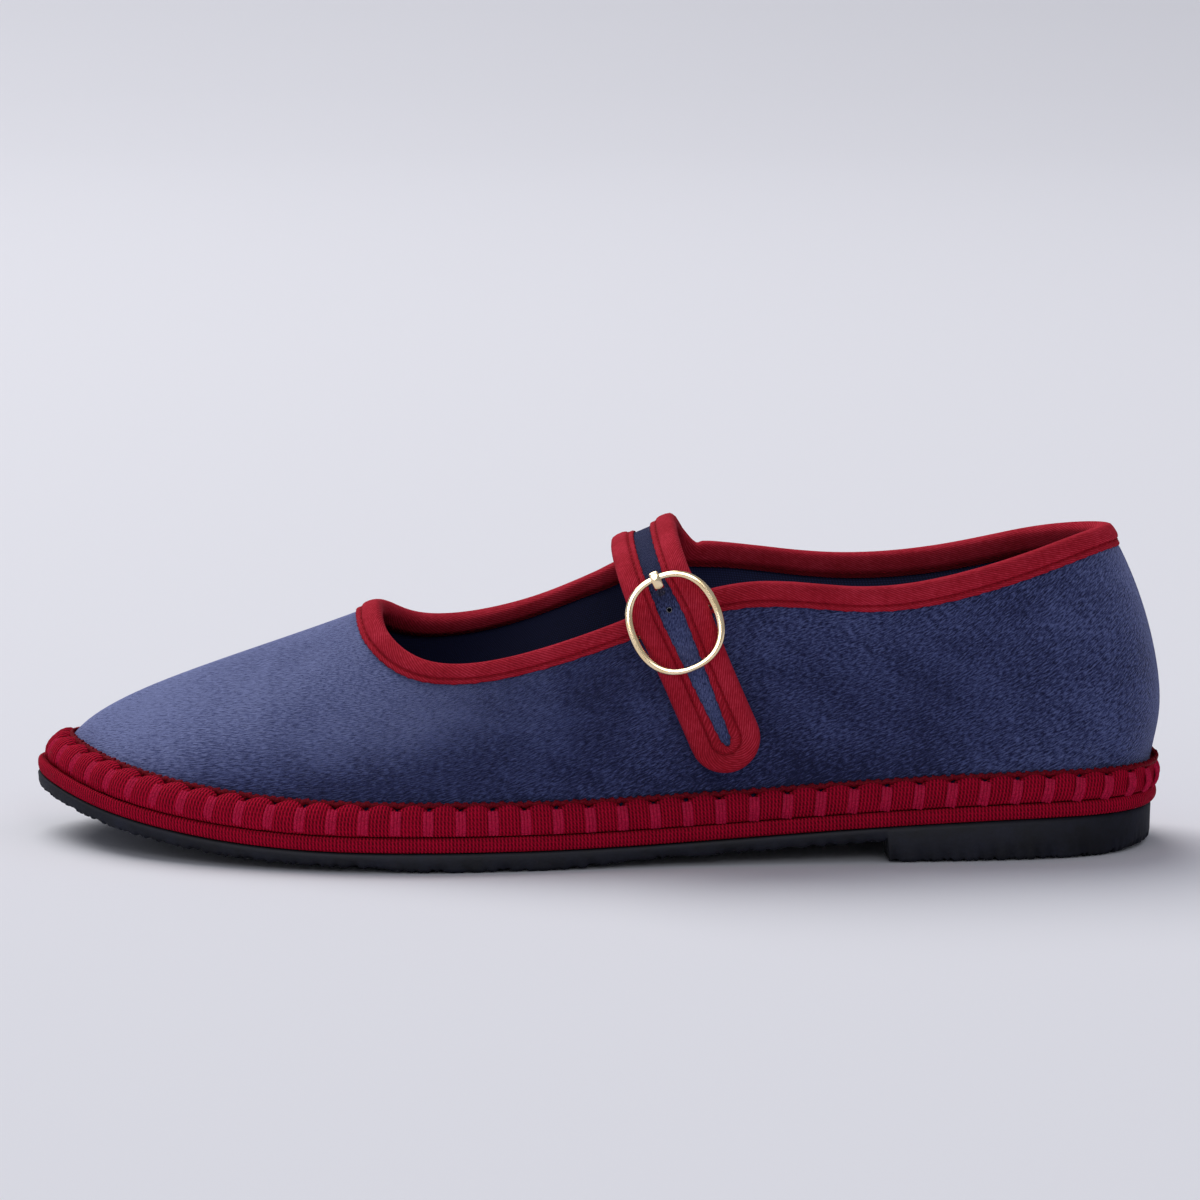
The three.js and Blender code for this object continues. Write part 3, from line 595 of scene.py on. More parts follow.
def turned(tree, vector, degrees, long, wide):
    """Coordinates turned about Z and scaled to steps of long by wide millimetres."""
    spun = add_node(tree, "ShaderNodeMapping",
                    {"Vector": vector, "Rotation": (0, 0, math.radians(degrees))})
    return add_node(tree, "ShaderNodeMapping",
                    {"Vector": spun.outputs["Vector"],
                     "Scale": (per(long), per(wide), 1)}).outputs["Vector"]


def blend(tree, *parts):
    """Sum of pairs of a value and its weight."""
    total = 0.0
    for value, weight in parts:
        total = add_node(tree, "ShaderNodeMath", {0: value, 1: weight, 2: total},
                         operation="MULTIPLY_ADD").outputs[0]
    return total


def surface(tree, shader, tone, stops=(), relief=None, **constants):
    """Links a material's colour, which stops give by its tone, and its relief (height, strength,
    depth in metres), and sets the shader's constants, named as their sockets with _ for a space."""
    if stops:
        tone = add_node(tree, "ShaderNodeValToRGB", {"Fac": tone}, stops).outputs["Color"]
    tree.links.new(tone, shader.inputs["Base Color"])
    if relief:
        bump = add_node(tree, "ShaderNodeBump",
                        {"Height": relief[0], "Strength": relief[1], "Distance": relief[2]})
        tree.links.new(bump.outputs["Normal"], shader.inputs["Normal"])
    for name, value in constants.items():
        shader.inputs[name.replace("_", " ")].default_value = value


def once(name):
    """Lets pieces that share a material's name share the material."""
    def keep(make):
        return lambda: bpy.data.materials.get(name) or make(name, colours())
    return keep


def velvet_material(name, gleam, nap):
    # Cut pile velvet, brushed: short leaning pile that goes pale where light grazes it (shader
    # sheen),
    # # small slanting nap marks and cloudy patches; painted light and painted shade come from a per
    # point value
    material, tree, shader = new_material(name)
    c = colours()
    uv = add_node(tree, "ShaderNodeUVMap", uv_map="cloth").outputs["UV"]
    marks = add_node(tree, "ShaderNodeTexNoise",
                     {"Vector": turned(tree, uv, 24, 1.4 * nap, 0.36 * nap), "Scale": 1.0,
                      "Detail": 2.0, "Roughness": 0.6, "Distortion": 0.3}).outputs["Fac"]
    cloud = add_node(tree, "ShaderNodeTexNoise",
                     {"Vector": turned(tree, uv, -35, 22, 10), "Scale": 1.0, "Detail": 4.0,
                      "Roughness": 0.6}).outputs["Fac"]
    fluff = add_node(tree, "ShaderNodeTexNoise",
                     {"Vector": uv, "Scale": per(0.4), "Detail": 1.0}).outputs["Fac"]
    painted_light = add_node(tree, "ShaderNodeAttribute", attribute_name="painted_light").outputs["Fac"]
    shade = blend(tree, (marks, 0.72), (cloud, 0.2), (fluff, 0.08), (painted_light, 0.12))
    # Painted light: the second, paler ramp is mixed in where the per point value says the pile
    # faces the sky or a patch is painted lighter; the same value also shifts the first ramp
    body, top = (add_node(tree, "ShaderNodeValToRGB", {"Fac": shade}, stops).outputs["Color"]
                 for stops in ([(0.41, c.velvet_shade), (0.5, c.velvet_body),
                                (0.61, c.velvet_light)],
                               [(0.5, c.velvet_painted_top_marks), (0.68, c.velvet_painted_top)]))
    lit = blend(tree, (painted_light, 0.85), (shade, 1.0))
    amount = add_node(tree, "ShaderNodeMapRange",
                      {"Value": lit, "From Min": 0.62, "From Max": 1.42}).outputs["Result"]
    colour = add_node(tree, "ShaderNodeMix", {"Factor": amount, 6: body, 7: top},
                      data_type="RGBA").outputs[2]
    height = blend(tree, (marks, 1.0), (fluff, 0.35))
    surface(tree, shader, colour, relief=(height, 1.0, 0.0005), Roughness=0.95,
            Specular_IOR_Level=0.04, Sheen_Weight=gleam, Sheen_Roughness=0.4,
            Sheen_Tint=linear(c.velvet_sheen))
    return material


@once("cotton lining, woven")
def lining_material(name, c):
    # Plain woven cotton lining: fine even weave, dull, nearly black in the shoe's shade
    material, tree, shader = new_material(name)
    uv = add_node(tree, "ShaderNodeUVMap", uv_map="cloth").outputs["UV"]
    warp, weft = (add_node(tree, "ShaderNodeTexWave",
                           {"Vector": uv, "Scale": per(0.7) * WAVE, "Distortion": 0.4,
                            "Detail": 1.0}, bands_direction=way).outputs["Fac"] for way in "XY")
    weave = add_node(tree, "ShaderNodeMath", {0: warp, 1: weft},
                     operation="MULTIPLY").outputs[0]
    surface(tree, shader, weave, [(0.0, c.lining_shade), (1.0, c.lining_light)],
            (weave, 0.3, 0.0003), Roughness=0.9, Specular_IOR_Level=0.1)
    return material


@once("binding tape, knitted")
def tape_material(name, c):
    # Folded cotton tape, knitted: fine slanting wales, low contrast, slightly fuzzy and matte; a
    # per point value paints shade into its groove and inner fold
    material, tree, shader = new_material(name)
    uv = add_node(tree, "ShaderNodeUVMap", uv_map="cloth").outputs["UV"]
    wales = add_node(tree, "ShaderNodeTexWave",
                     {"Vector": turned(tree, uv, 62, 0.5, 0.5), "Scale": WAVE,
                      "Distortion": 0.8, "Detail": 2.0}).outputs["Fac"]
    fuzz = add_node(tree, "ShaderNodeTexNoise",
                    {"Vector": turned(tree, uv, 62, 0.5, 1.3), "Scale": 1.0, "Detail": 3.0,
                     "Roughness": 0.7}).outputs["Fac"]
    cloud = add_node(tree, "ShaderNodeTexNoise",
                     {"Vector": uv, "Scale": per(9), "Detail": 3.0}).outputs["Fac"]
    painted_light = add_node(tree, "ShaderNodeAttribute", attribute_name="painted_light").outputs["Fac"]
    tone = blend(tree, (wales, 0.22), (fuzz, 0.5), (cloud, 0.3), (painted_light, 0.3))
    height = blend(tree, (wales, 0.7), (fuzz, 1.0))
    surface(tree, shader, tone, [(0.3, c.tape_painted_shade), (0.56, c.tape_shade), (0.8, c.tape_body),
                                 (1.0, c.tape_light)],
            (height, 0.4, 0.0002), Roughness=0.9, Specular_IOR_Level=0.05,
            Sheen_Weight=0.18, Sheen_Roughness=0.4, Sheen_Tint=linear(c.tape_light))
    return material


@once("grosgrain ribbon, woven")
def ribbon_material(name, c):
    # Grosgrain ribbon, woven: round ribs across the ribbon with dark valleys between them,
    # each rib broken into small steps by the warp
    material, tree, shader = new_material(name)
    uv = add_node(tree, "ShaderNodeUVMap", uv_map="cloth").outputs["UV"]
    ribs = add_node(tree, "ShaderNodeTexWave",
                    {"Vector": turned(tree, uv, 0, 0.8, 0.8), "Scale": WAVE,
                     "Distortion": 0.5, "Detail": 1.0}).outputs["Fac"]
    steps = add_node(tree, "ShaderNodeTexNoise",
                     {"Vector": turned(tree, uv, 0, 0.45, 0.3), "Scale": 1.0,
                      "Detail": 1.0}).outputs["Fac"]
    cloud = add_node(tree, "ShaderNodeTexNoise",
                     {"Vector": uv, "Scale": per(7), "Detail": 3.0}).outputs["Fac"]
    twist = add_node(tree, "ShaderNodeTexWave",
                     {"Vector": turned(tree, uv, 38, 0.62, 0.62), "Scale": WAVE,
                      "Distortion": 1.0, "Detail": 1.0}).outputs["Fac"]
    tone = blend(tree, (ribs, 0.36), (twist, 0.2), (steps, 0.44), (cloud, 0.2))
    height = blend(tree, (ribs, 1.0), (twist, 0.6), (steps, 0.6))
    surface(tree, shader, tone, [(0.3, c.ribbon_shade), (0.58, c.ribbon_body),
                                 (0.82, c.ribbon_light)],
            (height, 0.75, 0.0003), Roughness=0.8, Specular_IOR_Level=0.03)
    return material


@once("rubber, moulded matte")
def rubber_material(name, c):
    # Moulded rubber: dull black with a faint pebble and faint dusty patches
    material, tree, shader = new_material(name)
    place = add_node(tree, "ShaderNodeTexCoord").outputs["Object"]
    pebble = add_node(tree, "ShaderNodeTexNoise",
                      {"Vector": place, "Scale": per(0.9), "Detail": 4.0,
                       "Roughness": 0.6}).outputs["Fac"]
    dust = add_node(tree, "ShaderNodeTexNoise",
                    {"Vector": place, "Scale": per(9), "Detail": 6.0,
                     "Roughness": 0.7}).outputs["Fac"]
    rough = add_node(tree, "ShaderNodeMapRange", {"Value": dust, "To Min": 0.6, "To Max": 0.85})
    tree.links.new(rough.outputs["Result"], shader.inputs["Roughness"])
    surface(tree, shader, dust, [(0.35, c.rubber), (0.8, c.rubber_dust)],
            (pebble, 0.35, 0.0003), Specular_IOR_Level=0.18)
    return material


def punched_material(name, colour, rough):
    # Punched hole: its sealed edge gives a small hard glint, its inside none; the inside is a matte
    # black disc of painted shade
    material, _, shader = new_material(name)
    shader.inputs["Base Color"].default_value = linear(colour)
    shader.inputs["Roughness"].default_value = rough
    shader.inputs["Specular IOR Level"].default_value = 0.5 * (1 - rough)
    return material


def thread_material(name, dark, light):
    # Spun thread or floss: nearly matte, with darker hollows between its strands
    material, tree, shader = new_material(name)
    place = add_node(tree, "ShaderNodeTexCoord").outputs["Object"]
    strand = add_node(tree, "ShaderNodeTexNoise",
                      {"Vector": place, "Scale": per(0.35), "Detail": 2.0}).outputs["Fac"]
    surface(tree, shader, strand, [(0.35, dark), (0.65, light)],
            (strand, 0.4, 0.0002), Roughness=0.65, Specular_IOR_Level=0.03)
    return material


@once("gilt brass, polished")
def gilt_material(name, c):
    # Pale gilt brass, cast and tumbled: soft mirror with faint waves
    material, tree, shader = new_material(name)
    place = add_node(tree, "ShaderNodeTexCoord").outputs["Object"]
    wear = add_node(tree, "ShaderNodeTexNoise",
                    {"Vector": place, "Scale": per(3.5), "Detail": 3.0}).outputs["Fac"]
    rough = add_node(tree, "ShaderNodeMapRange", {"Value": wear, "To Min": 0.1, "To Max": 0.17})
    tree.links.new(rough.outputs["Result"], shader.inputs["Roughness"])
    surface(tree, shader, wear, [(0.3, c.gilt), (0.8, c.gilt_light)],
            (wear, 0.03, 0.0003), Metallic=1.0)
    return material


@once("paper sweep, matte")
def paper_material(name, c):
    # Seamless paper sweep, matte, graded to a darker tone away from the shoe: painted shade in
    # place of the light falling off
    material, tree, shader = new_material(name)
    place = add_node(tree, "ShaderNodeTexCoord").outputs["Object"]
    split = add_node(tree, "ShaderNodeSeparateXYZ", {"Vector": place})
    far = add_node(tree, "ShaderNodeMapRange",
                   {"Value": split.outputs["Y"], "From Min": 0.2, "From Max": 2.4})
    surface(tree, shader, far.outputs["Result"], [(0.0, c.paper), (1.0, c.paper_painted_shade)],
            Roughness=1.0, Specular_IOR_Level=0.0)
    return material


def dress(obj, node, material_slot, *materials):
    """Materials and body of a finished piece, and hides the part it replaces; material_slot is not
    used.
    """
    for material in materials:
        obj.data.materials.append(material)
    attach(obj, "root")
    if node:
        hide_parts(node)
    return obj


# Repeated small pieces: one Geometry Nodes tree sets a stitch on every marked point
def stitch_tree(name):
    tree = bpy.data.node_groups.new(name, "GeometryNodeTree")
    face = tree.interface
    face.new_socket("Geometry", in_out="INPUT", socket_type="NodeSocketGeometry")
    for label, default in (("Length", 0.002), ("Width", 0.0006), ("Thickness", 0.0004),
                           ("Arch", 0.0003), ("Sink", 0.0)):
        socket = face.new_socket(label, in_out="INPUT", socket_type="NodeSocketFloat")
        socket.default_value = default
    face.new_socket("Sides", in_out="INPUT", socket_type="NodeSocketInt").default_value = 6
    face.new_socket("Material", in_out="INPUT", socket_type="NodeSocketMaterial")
    face.new_socket("Geometry", in_out="OUTPUT", socket_type="NodeSocketGeometry")
    given = add_node(tree, "NodeGroupInput").outputs
    half, back, peak, low = (
        add_node(tree, "ShaderNodeMath", {0: given[label], 1: times},
                 operation="MULTIPLY").outputs[0]
        for label, times in (("Length", 0.5), ("Length", -0.5), ("Arch", 2.0), ("Sink", -1.0)))
    start, crest, end = (add_node(tree, "ShaderNodeCombineXYZ", {"X": x, "Z": z}).outputs[0]
                         for x, z in ((back, low), (0.0, peak), (half, low)))
    arc = add_node(tree, "GeometryNodeCurveQuadraticBezier",
                   {"Resolution": 6, "Start": start, "Middle": crest, "End": end})
    ring = add_node(tree, "GeometryNodeCurvePrimitiveCircle",
                    {"Resolution": given["Sides"], "Radius": 0.5})
    flat = add_node(tree, "ShaderNodeCombineXYZ",
                    {"X": given["Width"], "Y": given["Thickness"], "Z": 1.0})
    section = add_node(tree, "GeometryNodeTransform",
                       {"Geometry": ring.outputs["Curve"], "Scale": flat.outputs[0]})
    stitch = add_node(tree, "GeometryNodeCurveToMesh",
                      {"Curve": arc.outputs["Curve"],
                       "Profile Curve": section.outputs["Geometry"], "Fill Caps": True})
    run, out = (add_node(tree, "GeometryNodeInputNamedAttribute", {"Name": label},
                         data_type="FLOAT_VECTOR").outputs["Attribute"]
                for label in ("run", "out"))
    aim = add_node(tree, "FunctionNodeAlignRotationToVector", {"Vector": run}, axis="X")
    aim = add_node(tree, "FunctionNodeAlignRotationToVector",
                   {"Rotation": aim.outputs[0], "Vector": out}, axis="Z", pivot_axis="X")
    placed = add_node(tree, "GeometryNodeInstanceOnPoints",
                      {"Points": given["Geometry"], "Instance": stitch.outputs["Mesh"],
                       "Rotation": aim.outputs[0]})
    real = add_node(tree, "GeometryNodeRealizeInstances",
                    {"Geometry": placed.outputs["Instances"]})
    shaded = add_node(tree, "GeometryNodeSetMaterial",
                      {"Geometry": real.outputs["Geometry"], "Material": given["Material"]})
    add_node(tree, "NodeGroupOutput", {"Geometry": shaded.outputs["Geometry"]})
    return tree


def sew(name, spots, runs, outs, material, **sizes):
    """Stitches as one plain mesh: one on each spot, along its run and standing on its out."""
    mesh = bpy.data.meshes.new(name)
    mesh.from_pydata((np.asarray(spots) * MM).tolist(), [], [])
    for label, values in (("run", runs), ("out", outs)):
        layer = mesh.attributes.new(label, "FLOAT_VECTOR", "POINT")
        layer.data.foreach_set("vector", np.asarray(values, float).reshape(-1))
    holder = make_object(name + "_points", mesh)
    tree = bpy.data.node_groups.get("stitches") or stitch_tree("stitches")
    modifier = holder.modifiers.new("stitches", "NODES")
    modifier.node_group = tree
    for socket in tree.interface.items_tree:
        if socket.item_type != "SOCKET" or socket.in_out != "INPUT":
            continue
        if socket.name == "Material":
            modifier[socket.identifier] = material
        elif socket.name in sizes:
            modifier[socket.identifier] = sizes[socket.name]
    graph = bpy.context.evaluated_depsgraph_get()
    result = bpy.data.meshes.new_from_object(holder.evaluated_get(graph))
    holder.modifiers.clear()
    bpy.data.objects.remove(holder)
    result.name = name
    result.materials.clear()
    result.polygons.foreach_set("use_smooth", [True] * len(result.polygons))
    return make_object(name, result)


# Sizes and colours
def length_prop(name, text, value):
    return bpy.props.FloatProperty(name=name, description=text, default=value * MM,
                                   unit="LENGTH", subtype="DISTANCE", precision=4)


def colour_prop(name, text, code):
    return bpy.props.StringProperty(name=name, description=text, default=code)


class ShoeSizes(bpy.types.PropertyGroup):
    stitch_pitch: length_prop("Stitch pitch", "From one floss bar to the next on the welt", 7.2)
    stitch_width: length_prop("Stitch width", "Width of a floss bar on the welt", 2.3)
    pillow: length_prop("Pillow", "How far the ribbon puffs out between floss bars", 0.75)
    tape_stitch: length_prop("Tape stitch", "From one stitch to the next along the tape", 2.4)
    eye_level: bpy.props.FloatProperty(
        name="Eye level", description="Camera's angle above the floor",
        default=math.radians(8.5), unit="ROTATION", subtype="ANGLE")


class ShoeColours(bpy.types.PropertyGroup):
    velvet_shade: colour_prop("Velvet shade", "Pile leaning away from the light", "#1d2142")
    velvet_body: colour_prop("Velvet body", "Most of the pile", "#343a63")
    velvet_light: colour_prop("Velvet light", "Pile leaning to the light", "#505a8c")
    # Painted light: the next two colours are the pile that faces the sky, painted paler than the
    # rest
    velvet_painted_top_marks: colour_prop("Velvet lean", "Marks in the pile that faces the sky", "#4a5280")
    velvet_painted_top: colour_prop("Velvet top", "Pile that lies towards the sky", "#7a83b2")
    velvet_sheen: colour_prop("Velvet sheen", "Grazing light on the pile", "#b4bcec")
    # Painted shade: darkest stop, reached in the tape's groove and folds
    tape_painted_shade: colour_prop("Tape fold", "Deep in a fold or groove of the tape", "#3a0008")
    tape_shade: colour_prop("Tape shade", "Valleys of the tape", "#7e0a1a")
    tape_body: colour_prop("Tape body", "Wales of the tape", "#a8182b")
    tape_light: colour_prop("Tape light", "Tops of the tape's wales", "#c8344a")
    ribbon_shade: colour_prop("Ribbon shade", "Valleys of the ribbon", "#520010")
    ribbon_body: colour_prop("Ribbon body", "Ribs of the ribbon", "#9a0324")
    ribbon_light: colour_prop("Ribbon light", "Tops of the ribbon's ribs", "#cc0c38")
    ribbon_loop: colour_prop("Ribbon loop", "Looped edge of the ribbon", "#86081e")
    floss: colour_prop("Floss", "Floss bars of the welt", "#d01e4c")
    floss_shade: colour_prop("Floss shade", "Between the strands of floss", "#a01236")
    rubber: colour_prop("Rubber", "Outsole", "#080a16")
    rubber_dust: colour_prop("Rubber dust", "Dusty patches of the outsole", "#1f2234")
    gilt: colour_prop("Gilt", "Buckle", "#f6d8a4")
    gilt_light: colour_prop("Gilt light", "Paler patches of the buckle", "#ffeed0")
    lining_shade: colour_prop("Lining shade", "Between the lining's threads", "#181d40")
    lining_light: colour_prop("Lining light", "Threads of the lining", "#323a6c")
    paper: colour_prop("Paper", "Floor under the shoe", "#e8e9f1")
    # Painted shade: far end of the paper's painted falloff
    paper_painted_shade: colour_prop("Paper far", "Backdrop far behind the shoe", "#d2d3db")


def sizes():
    return bpy.context.scene.shoe_sizes


def colours():
    return bpy.context.scene.shoe_colours


def even_angles(count):
    return np.arange(count) * TURN / count


def middle_line(row):
    """Halfway points between the two sides of a ring round the sole."""
    return (row + np.roll(row[::-1], 1, 0)) / 2


def noise_round(angle, seed, waves, amount):
    """Smooth uneven value round the shoe, the same each run."""
    rng = np.random.default_rng(seed)
    total = np.zeros_like(angle)
    for wave in waves:
        total += rng.uniform(0.4, 1) * np.sin(wave * angle + rng.uniform(0, TURN))
    return total * amount / len(waves)


# Pieces
class SHOE_OT_outsole(bpy.types.Operator):
    """Rubber outsole with its heel, fine tread and worn lower edge"""
    bl_idname = "shoe.outsole"
    bl_label = "Outsole"

    def execute(self, context):
        breast = [math.acos(1 - 2 * a / LENGTH) for a in (HEEL_LENGTH, HEEL_LENGTH + 0.6)]
        half = [a for a in np.linspace(0, math.pi, 421)
                if all(abs(a - b) > 0.003 for b in breast)] + breast
        half = np.array(sorted(half))
        angle = np.concatenate([half, TURN - half[-2:0:-1]])
        along = LENGTH / 2 * (1 - np.cos(angle))
        edge = HEEL_INSET * ease(1.5 - along / HEEL_LENGTH)
        back = ease(1 - along / (0.06 * LENGTH))
        low = rubber_bottom(along)
        ragged = np.abs(noise_round(angle, 3, (103, 149, 211, 263, 311, 353), 2.1))
        rows = []
        under = [(14.0, 0.0, 0), (6.0, 0.0, 0), (3.4, 0.0, 0), (2.6, 0.1, 0.4), (1.8, 0.0, 0.8),
                 (1.0, 0.0, 1.0)]
        for inset, rise, worn in under:
            row = sole_edge(angle, edge + inset + BACK_TUCK * back)
            row[:, 2] = low + rise + ragged * worn
            rows.append(row)
        for inset, rise in ((0.4, 0.28), (0.15, 1.1)):
            row = sole_edge(angle, edge + inset + ragged * (1.1 - rise) * 0.7)
            row[:, 2] = (low + rise + BACK_BEVEL * back * min(1, rise + 0.2)
                         + ragged * (1.1 - rise))
            rows.append(row)
        for share, inset in ((0.55, 0.08), (0.85, 0.0), (1.0, 0.25)):
            row = sole_edge(angle, edge + inset)
            side_low = low + 1 + BACK_BEVEL * back
            row[:, 2] = side_low + (rubber_top(along) - side_low) * share
            rows.append(row)
        obj = build_grid("outsole_rubber", self.closed(rows), close_rows=False, weld=0.02)
        dress(obj, "outsole", "rubber", rubber_material())
        return {"FINISHED"}

    def closed(self, rows):
        """Adds rows that run in to the middle line: under the sole with its tread, and on top."""
        centre = middle_line(rows[0])
        start = []
        for f in (0, 0.2, 0.45, 0.7):
            row = centre + (rows[0] - centre) * f
            along = LENGTH / 2 - row[:, 0]
            ribs = TREAD_DEPTH * (1 - np.cos(along / TREAD_STEP * TURN)) * ease((1 - f) * 4)
            flat = np.abs(along - HEEL_LENGTH) > BREAST_CLEAR
            row[:, 2] += ribs * flat * (rubber_bottom(along) < 0.05)
            start.append(row)
        centre = middle_line(rows[-1])
        end = [centre + (rows[-1] - centre) * f for f in (0.6, 0)]
        return np.stack(start + rows + end)


class SHOE_OT_midsole(bpy.types.Operator):
    """Lower layer of the sole, wrapped in ribbed ribbon, and the insole"""
    bl_idname = "shoe.midsole"
    bl_label = "Midsole and insole"

    def execute(self, context):
        angle = even_angles(420)
        wave = noise_round(angle, 5, (19, 37, 53, 71), 0.12)
        rows = []
        for turn in np.linspace(-90, 90, 13):
            c, s = math.cos(math.radians(turn)), math.sin(math.radians(turn))
            row = sole_edge(angle, 0.95 * (1 - c ** 0.8) + wave * c)
            row[:, 2] = rubber_top(LENGTH / 2 - row[:, 0]) + GAP + MIDSOLE * (0.5 + 0.5 * s)
            rows.append(row)
        self.piece("midsole_ribbon", rows, "midsole", "ribbon", ribbon_material())
        rim = wall_at(angle)[:, 0] * FEATHER + WALL + 2 * GAP
        rows = []
        for share, inset in ((0, 0.2), (0.3, 0.0), (0.65, 0.0), (0.88, 0.25), (1.0, 0.8),
                             (1.02, 3.0), (1.02, 3.6), (0.96, 3.9), (1.02, 4.3), (1.02, 9.0)):
            row = sole_edge(angle, rim + inset)
            row[:, 2] = foot_level(LENGTH / 2 - row[:, 0]) + share * INSOLE
            rows.append(row)
        self.piece("insole_cover", rows, "insole", "lining", lining_material())
        return {"FINISHED"}

    def piece(self, name, rows, node, material_slot, finish):
        """A layer of the sole from rings round its edge, closed below and above."""
        low, high = middle_line(rows[0]), middle_line(rows[-1])
        points = np.stack([low] + rows + [high + (rows[-1] - high) * 0.5, high])
        obj = build_grid(name, points, close_rows=False, uv=cloth_uv(points), weld=0.02)
        dress(obj, node, material_slot, finish)


def band_point(angle, height, out):
    """Point on the welt band: distance up the upper's foot, and out from its skin."""
    share = share_up(angle, height)
    face = skin(angle, share)
    edge = sole_edge(angle)
    inward = sole_edge(angle, np.ones_like(angle)) - edge
    room = np.sum(inward * (face - edge), -1)
    level = np.clip(height / 1.5, 0, 1)[:, None]
    normal = skin_normal(angle, share)
    flat = unit(normal * (1, 1, 0))
    return face + unit(flat * (1 - level) + normal * level) * np.minimum(out, room)[:, None]


def band_thickness(angle):
    """How far the welt band reaches out from the foot of the upper."""
    toe = ease(((1 - np.cos(angle)) / 2 - TOE_START) / (1 - TOE_START))
    return wall_at(angle)[:, 0] * FEATHER - BAND_STEP - TOE_STEP * toe - GAP


def pinches():
    """Count of the floss bars, and a table of angles and shares of the way round the edge."""
    angle = np.linspace(0, TURN, EDGE_STEPS + 1)
    run = walked(sole_edge(angle))
    count = round(run[-1] / (sizes().stitch_pitch * METRE))
    return count, angle, run / run[-1]


class SHOE_OT_welt(bpy.types.Operator):
    """Ribbon band round the foot of the upper, puffed between its floss bars"""
    bl_idname = "shoe.welt"
    bl_label = "Welt band"

    def execute(self, context):
        count, table, run = pinches()
        per_pillow = 12
        shares = np.arange(count * per_pillow) / (count * per_pillow)
        angle = np.interp(shares, run, table)
        puff = np.abs(np.sin(shares * count * math.pi)) ** 0.7
        thick = band_thickness(angle)
        swell = sizes().pillow * METRE
        section = [(0.02, 0.0, 0), (0.0, 0.55, 0), (0.02, 0.98, 0.2), (0.1, 1.06, 0.5),
                   (0.22, 1.12, 0.8), (0.36, 1.14, 1.0), (0.5, 1.08, 1.0), (0.64, 0.98, 1.0),
                   (0.77, 0.84, 0.9), (0.88, 0.66, 0.75), (0.96, 0.46, 0.5), (1.0, 0.24, 0.2),
                   (1.0, 0.0, 0), (0.72, 0.0, 0), (0.35, 0.0, 0), (0.12, 0.0, 0)]
        rows = []
        for height, stand, lift in section:
            pinch = 0.8 * swell * lift * (1 - puff)
            tall = height * BAND_HEIGHT * (1 + (0.05 * puff - 0.2 * (1 - puff)) * height ** 3)
            out = GAP + stand * thick - pinch * (stand > 0)
            row = band_point(angle, tall, out)
            if height <= 0.02:
                row[:, 2] = foot_level(LENGTH / 2 - row[:, 0]) + 0.02
            rows.append(row)
        points = np.stack(rows)
        obj = build_grid("welt_ribbon", points, uv=cloth_uv(points))
        dress(obj, "welt_band", "ribbon", ribbon_material())
        self.selvage(count, table, run)
        self.floss(count, table, run)
        return {"FINISHED"}

    def selvage(self, count, table, run):
        """Thin looped edge of the ribbon where it meets the velvet."""
        many = count * 7
        angle = np.interp((np.arange(many) + 0.5) / many, run, table)
        uneven = noise_round(angle, 11, (97, 143, 171, 229), 0.35)
        level, stand = BAND_HEIGHT * 1.02 + uneven, np.full(many, 0.5)
        spots = band_point(angle, level, stand)
        ahead = band_point(angle + 0.003, level, stand)
        outs = skin_normal(angle, share_up(angle, np.full(many, BAND_HEIGHT)))
        runs = unit(ahead - spots)
        slant = np.where(np.arange(many) % 2, 0.3, -0.3)[:, None]
        runs = unit(runs + np.cross(outs, runs) * slant)
        c = colours()
        finish = thread_material("ribbon edge, looped", c.ribbon_shade, c.ribbon_loop)
        obj = sew("welt_selvage", spots, runs, outs, finish, Length=0.0021,
                  Width=0.0012, Thickness=0.0009, Arch=0.0002, Sides=6)
        dress(obj, None, "ribbon", finish)

    def floss(self, count, table, run):
        """Flat floss bars over the pinches of the band."""
        angle = np.interp(np.arange(count) / count, run, table)
        thick = band_thickness(angle)
        low, middle, high = (
            band_point(angle, np.full(count, rise * BAND_HEIGHT), GAP + stand * thick)
            for rise, stand in ((0.1, 1.0), (0.45, 1.0), (0.78, 0.74)))
        outs = skin_normal(angle, share_up(angle, np.full(count, 0.45 * BAND_HEIGHT)))
        c = colours()
        finish = thread_material("floss, mercerised", c.floss_shade, c.floss)
        runs = unit(high - low)
        bulge = np.mean(np.linalg.norm(middle - (low + high) / 2, axis=1))
        strand = sizes().stitch_width * METRE / 3
        side = np.cross(outs, runs)
        spots = np.vstack([(low + high) / 2 - outs * 0.3 + side * strand * k for k in (-1, 0, 1)])
        bars = sew("welt_floss", spots, np.tile(runs, (3, 1)), np.tile(outs, (3, 1)), finish,
                   Length=0.0050, Width=strand * 0.00112, Thickness=0.0008,
                   Arch=(bulge + 0.5) * MM, Sides=8)
        dress(bars, None, "ribbon", finish)


CREASES = [
    # angle in degrees, share up the wall, half width in degrees, half height, depth in mm
    (98, 0.35, 5, 0.35, -0.9), (88, 0.4, 4, 0.3, 0.7), (76, 0.45, 5, 0.3, -0.6),
    (110, 0.6, 5, 0.25, 0.5), (60, 0.5, 7, 0.3, 0.5), (35, 0.5, 8, 0.35, -0.6),
    (262, 0.4, 5, 0.3, -0.7), (290, 0.45, 6, 0.3, 0.6), (330, 0.5, 8, 0.3, -0.5),
    (135, 0.35, 7, 0.2, 0.4), (225, 0.35, 7, 0.2, 0.4), (0, 0.16, 20, 0.13, -1.0),
    (27, 0.17, 3.5, 0.1, -0.6), (35, 0.14, 4, 0.1, 0.45),
]


def crease(angle, share):
    total = np.zeros(np.broadcast(angle, share).shape)
    for place, up, wide, tall, depth in CREASES:
        turn = np.mod(np.degrees(angle) - place + 180, 360) - 180
        total = total + depth * np.exp(-(turn / wide) ** 2 - ((share - up) / tall) ** 2)
    return total * ease((1 - share) / 0.22) * ease(share / 0.1)


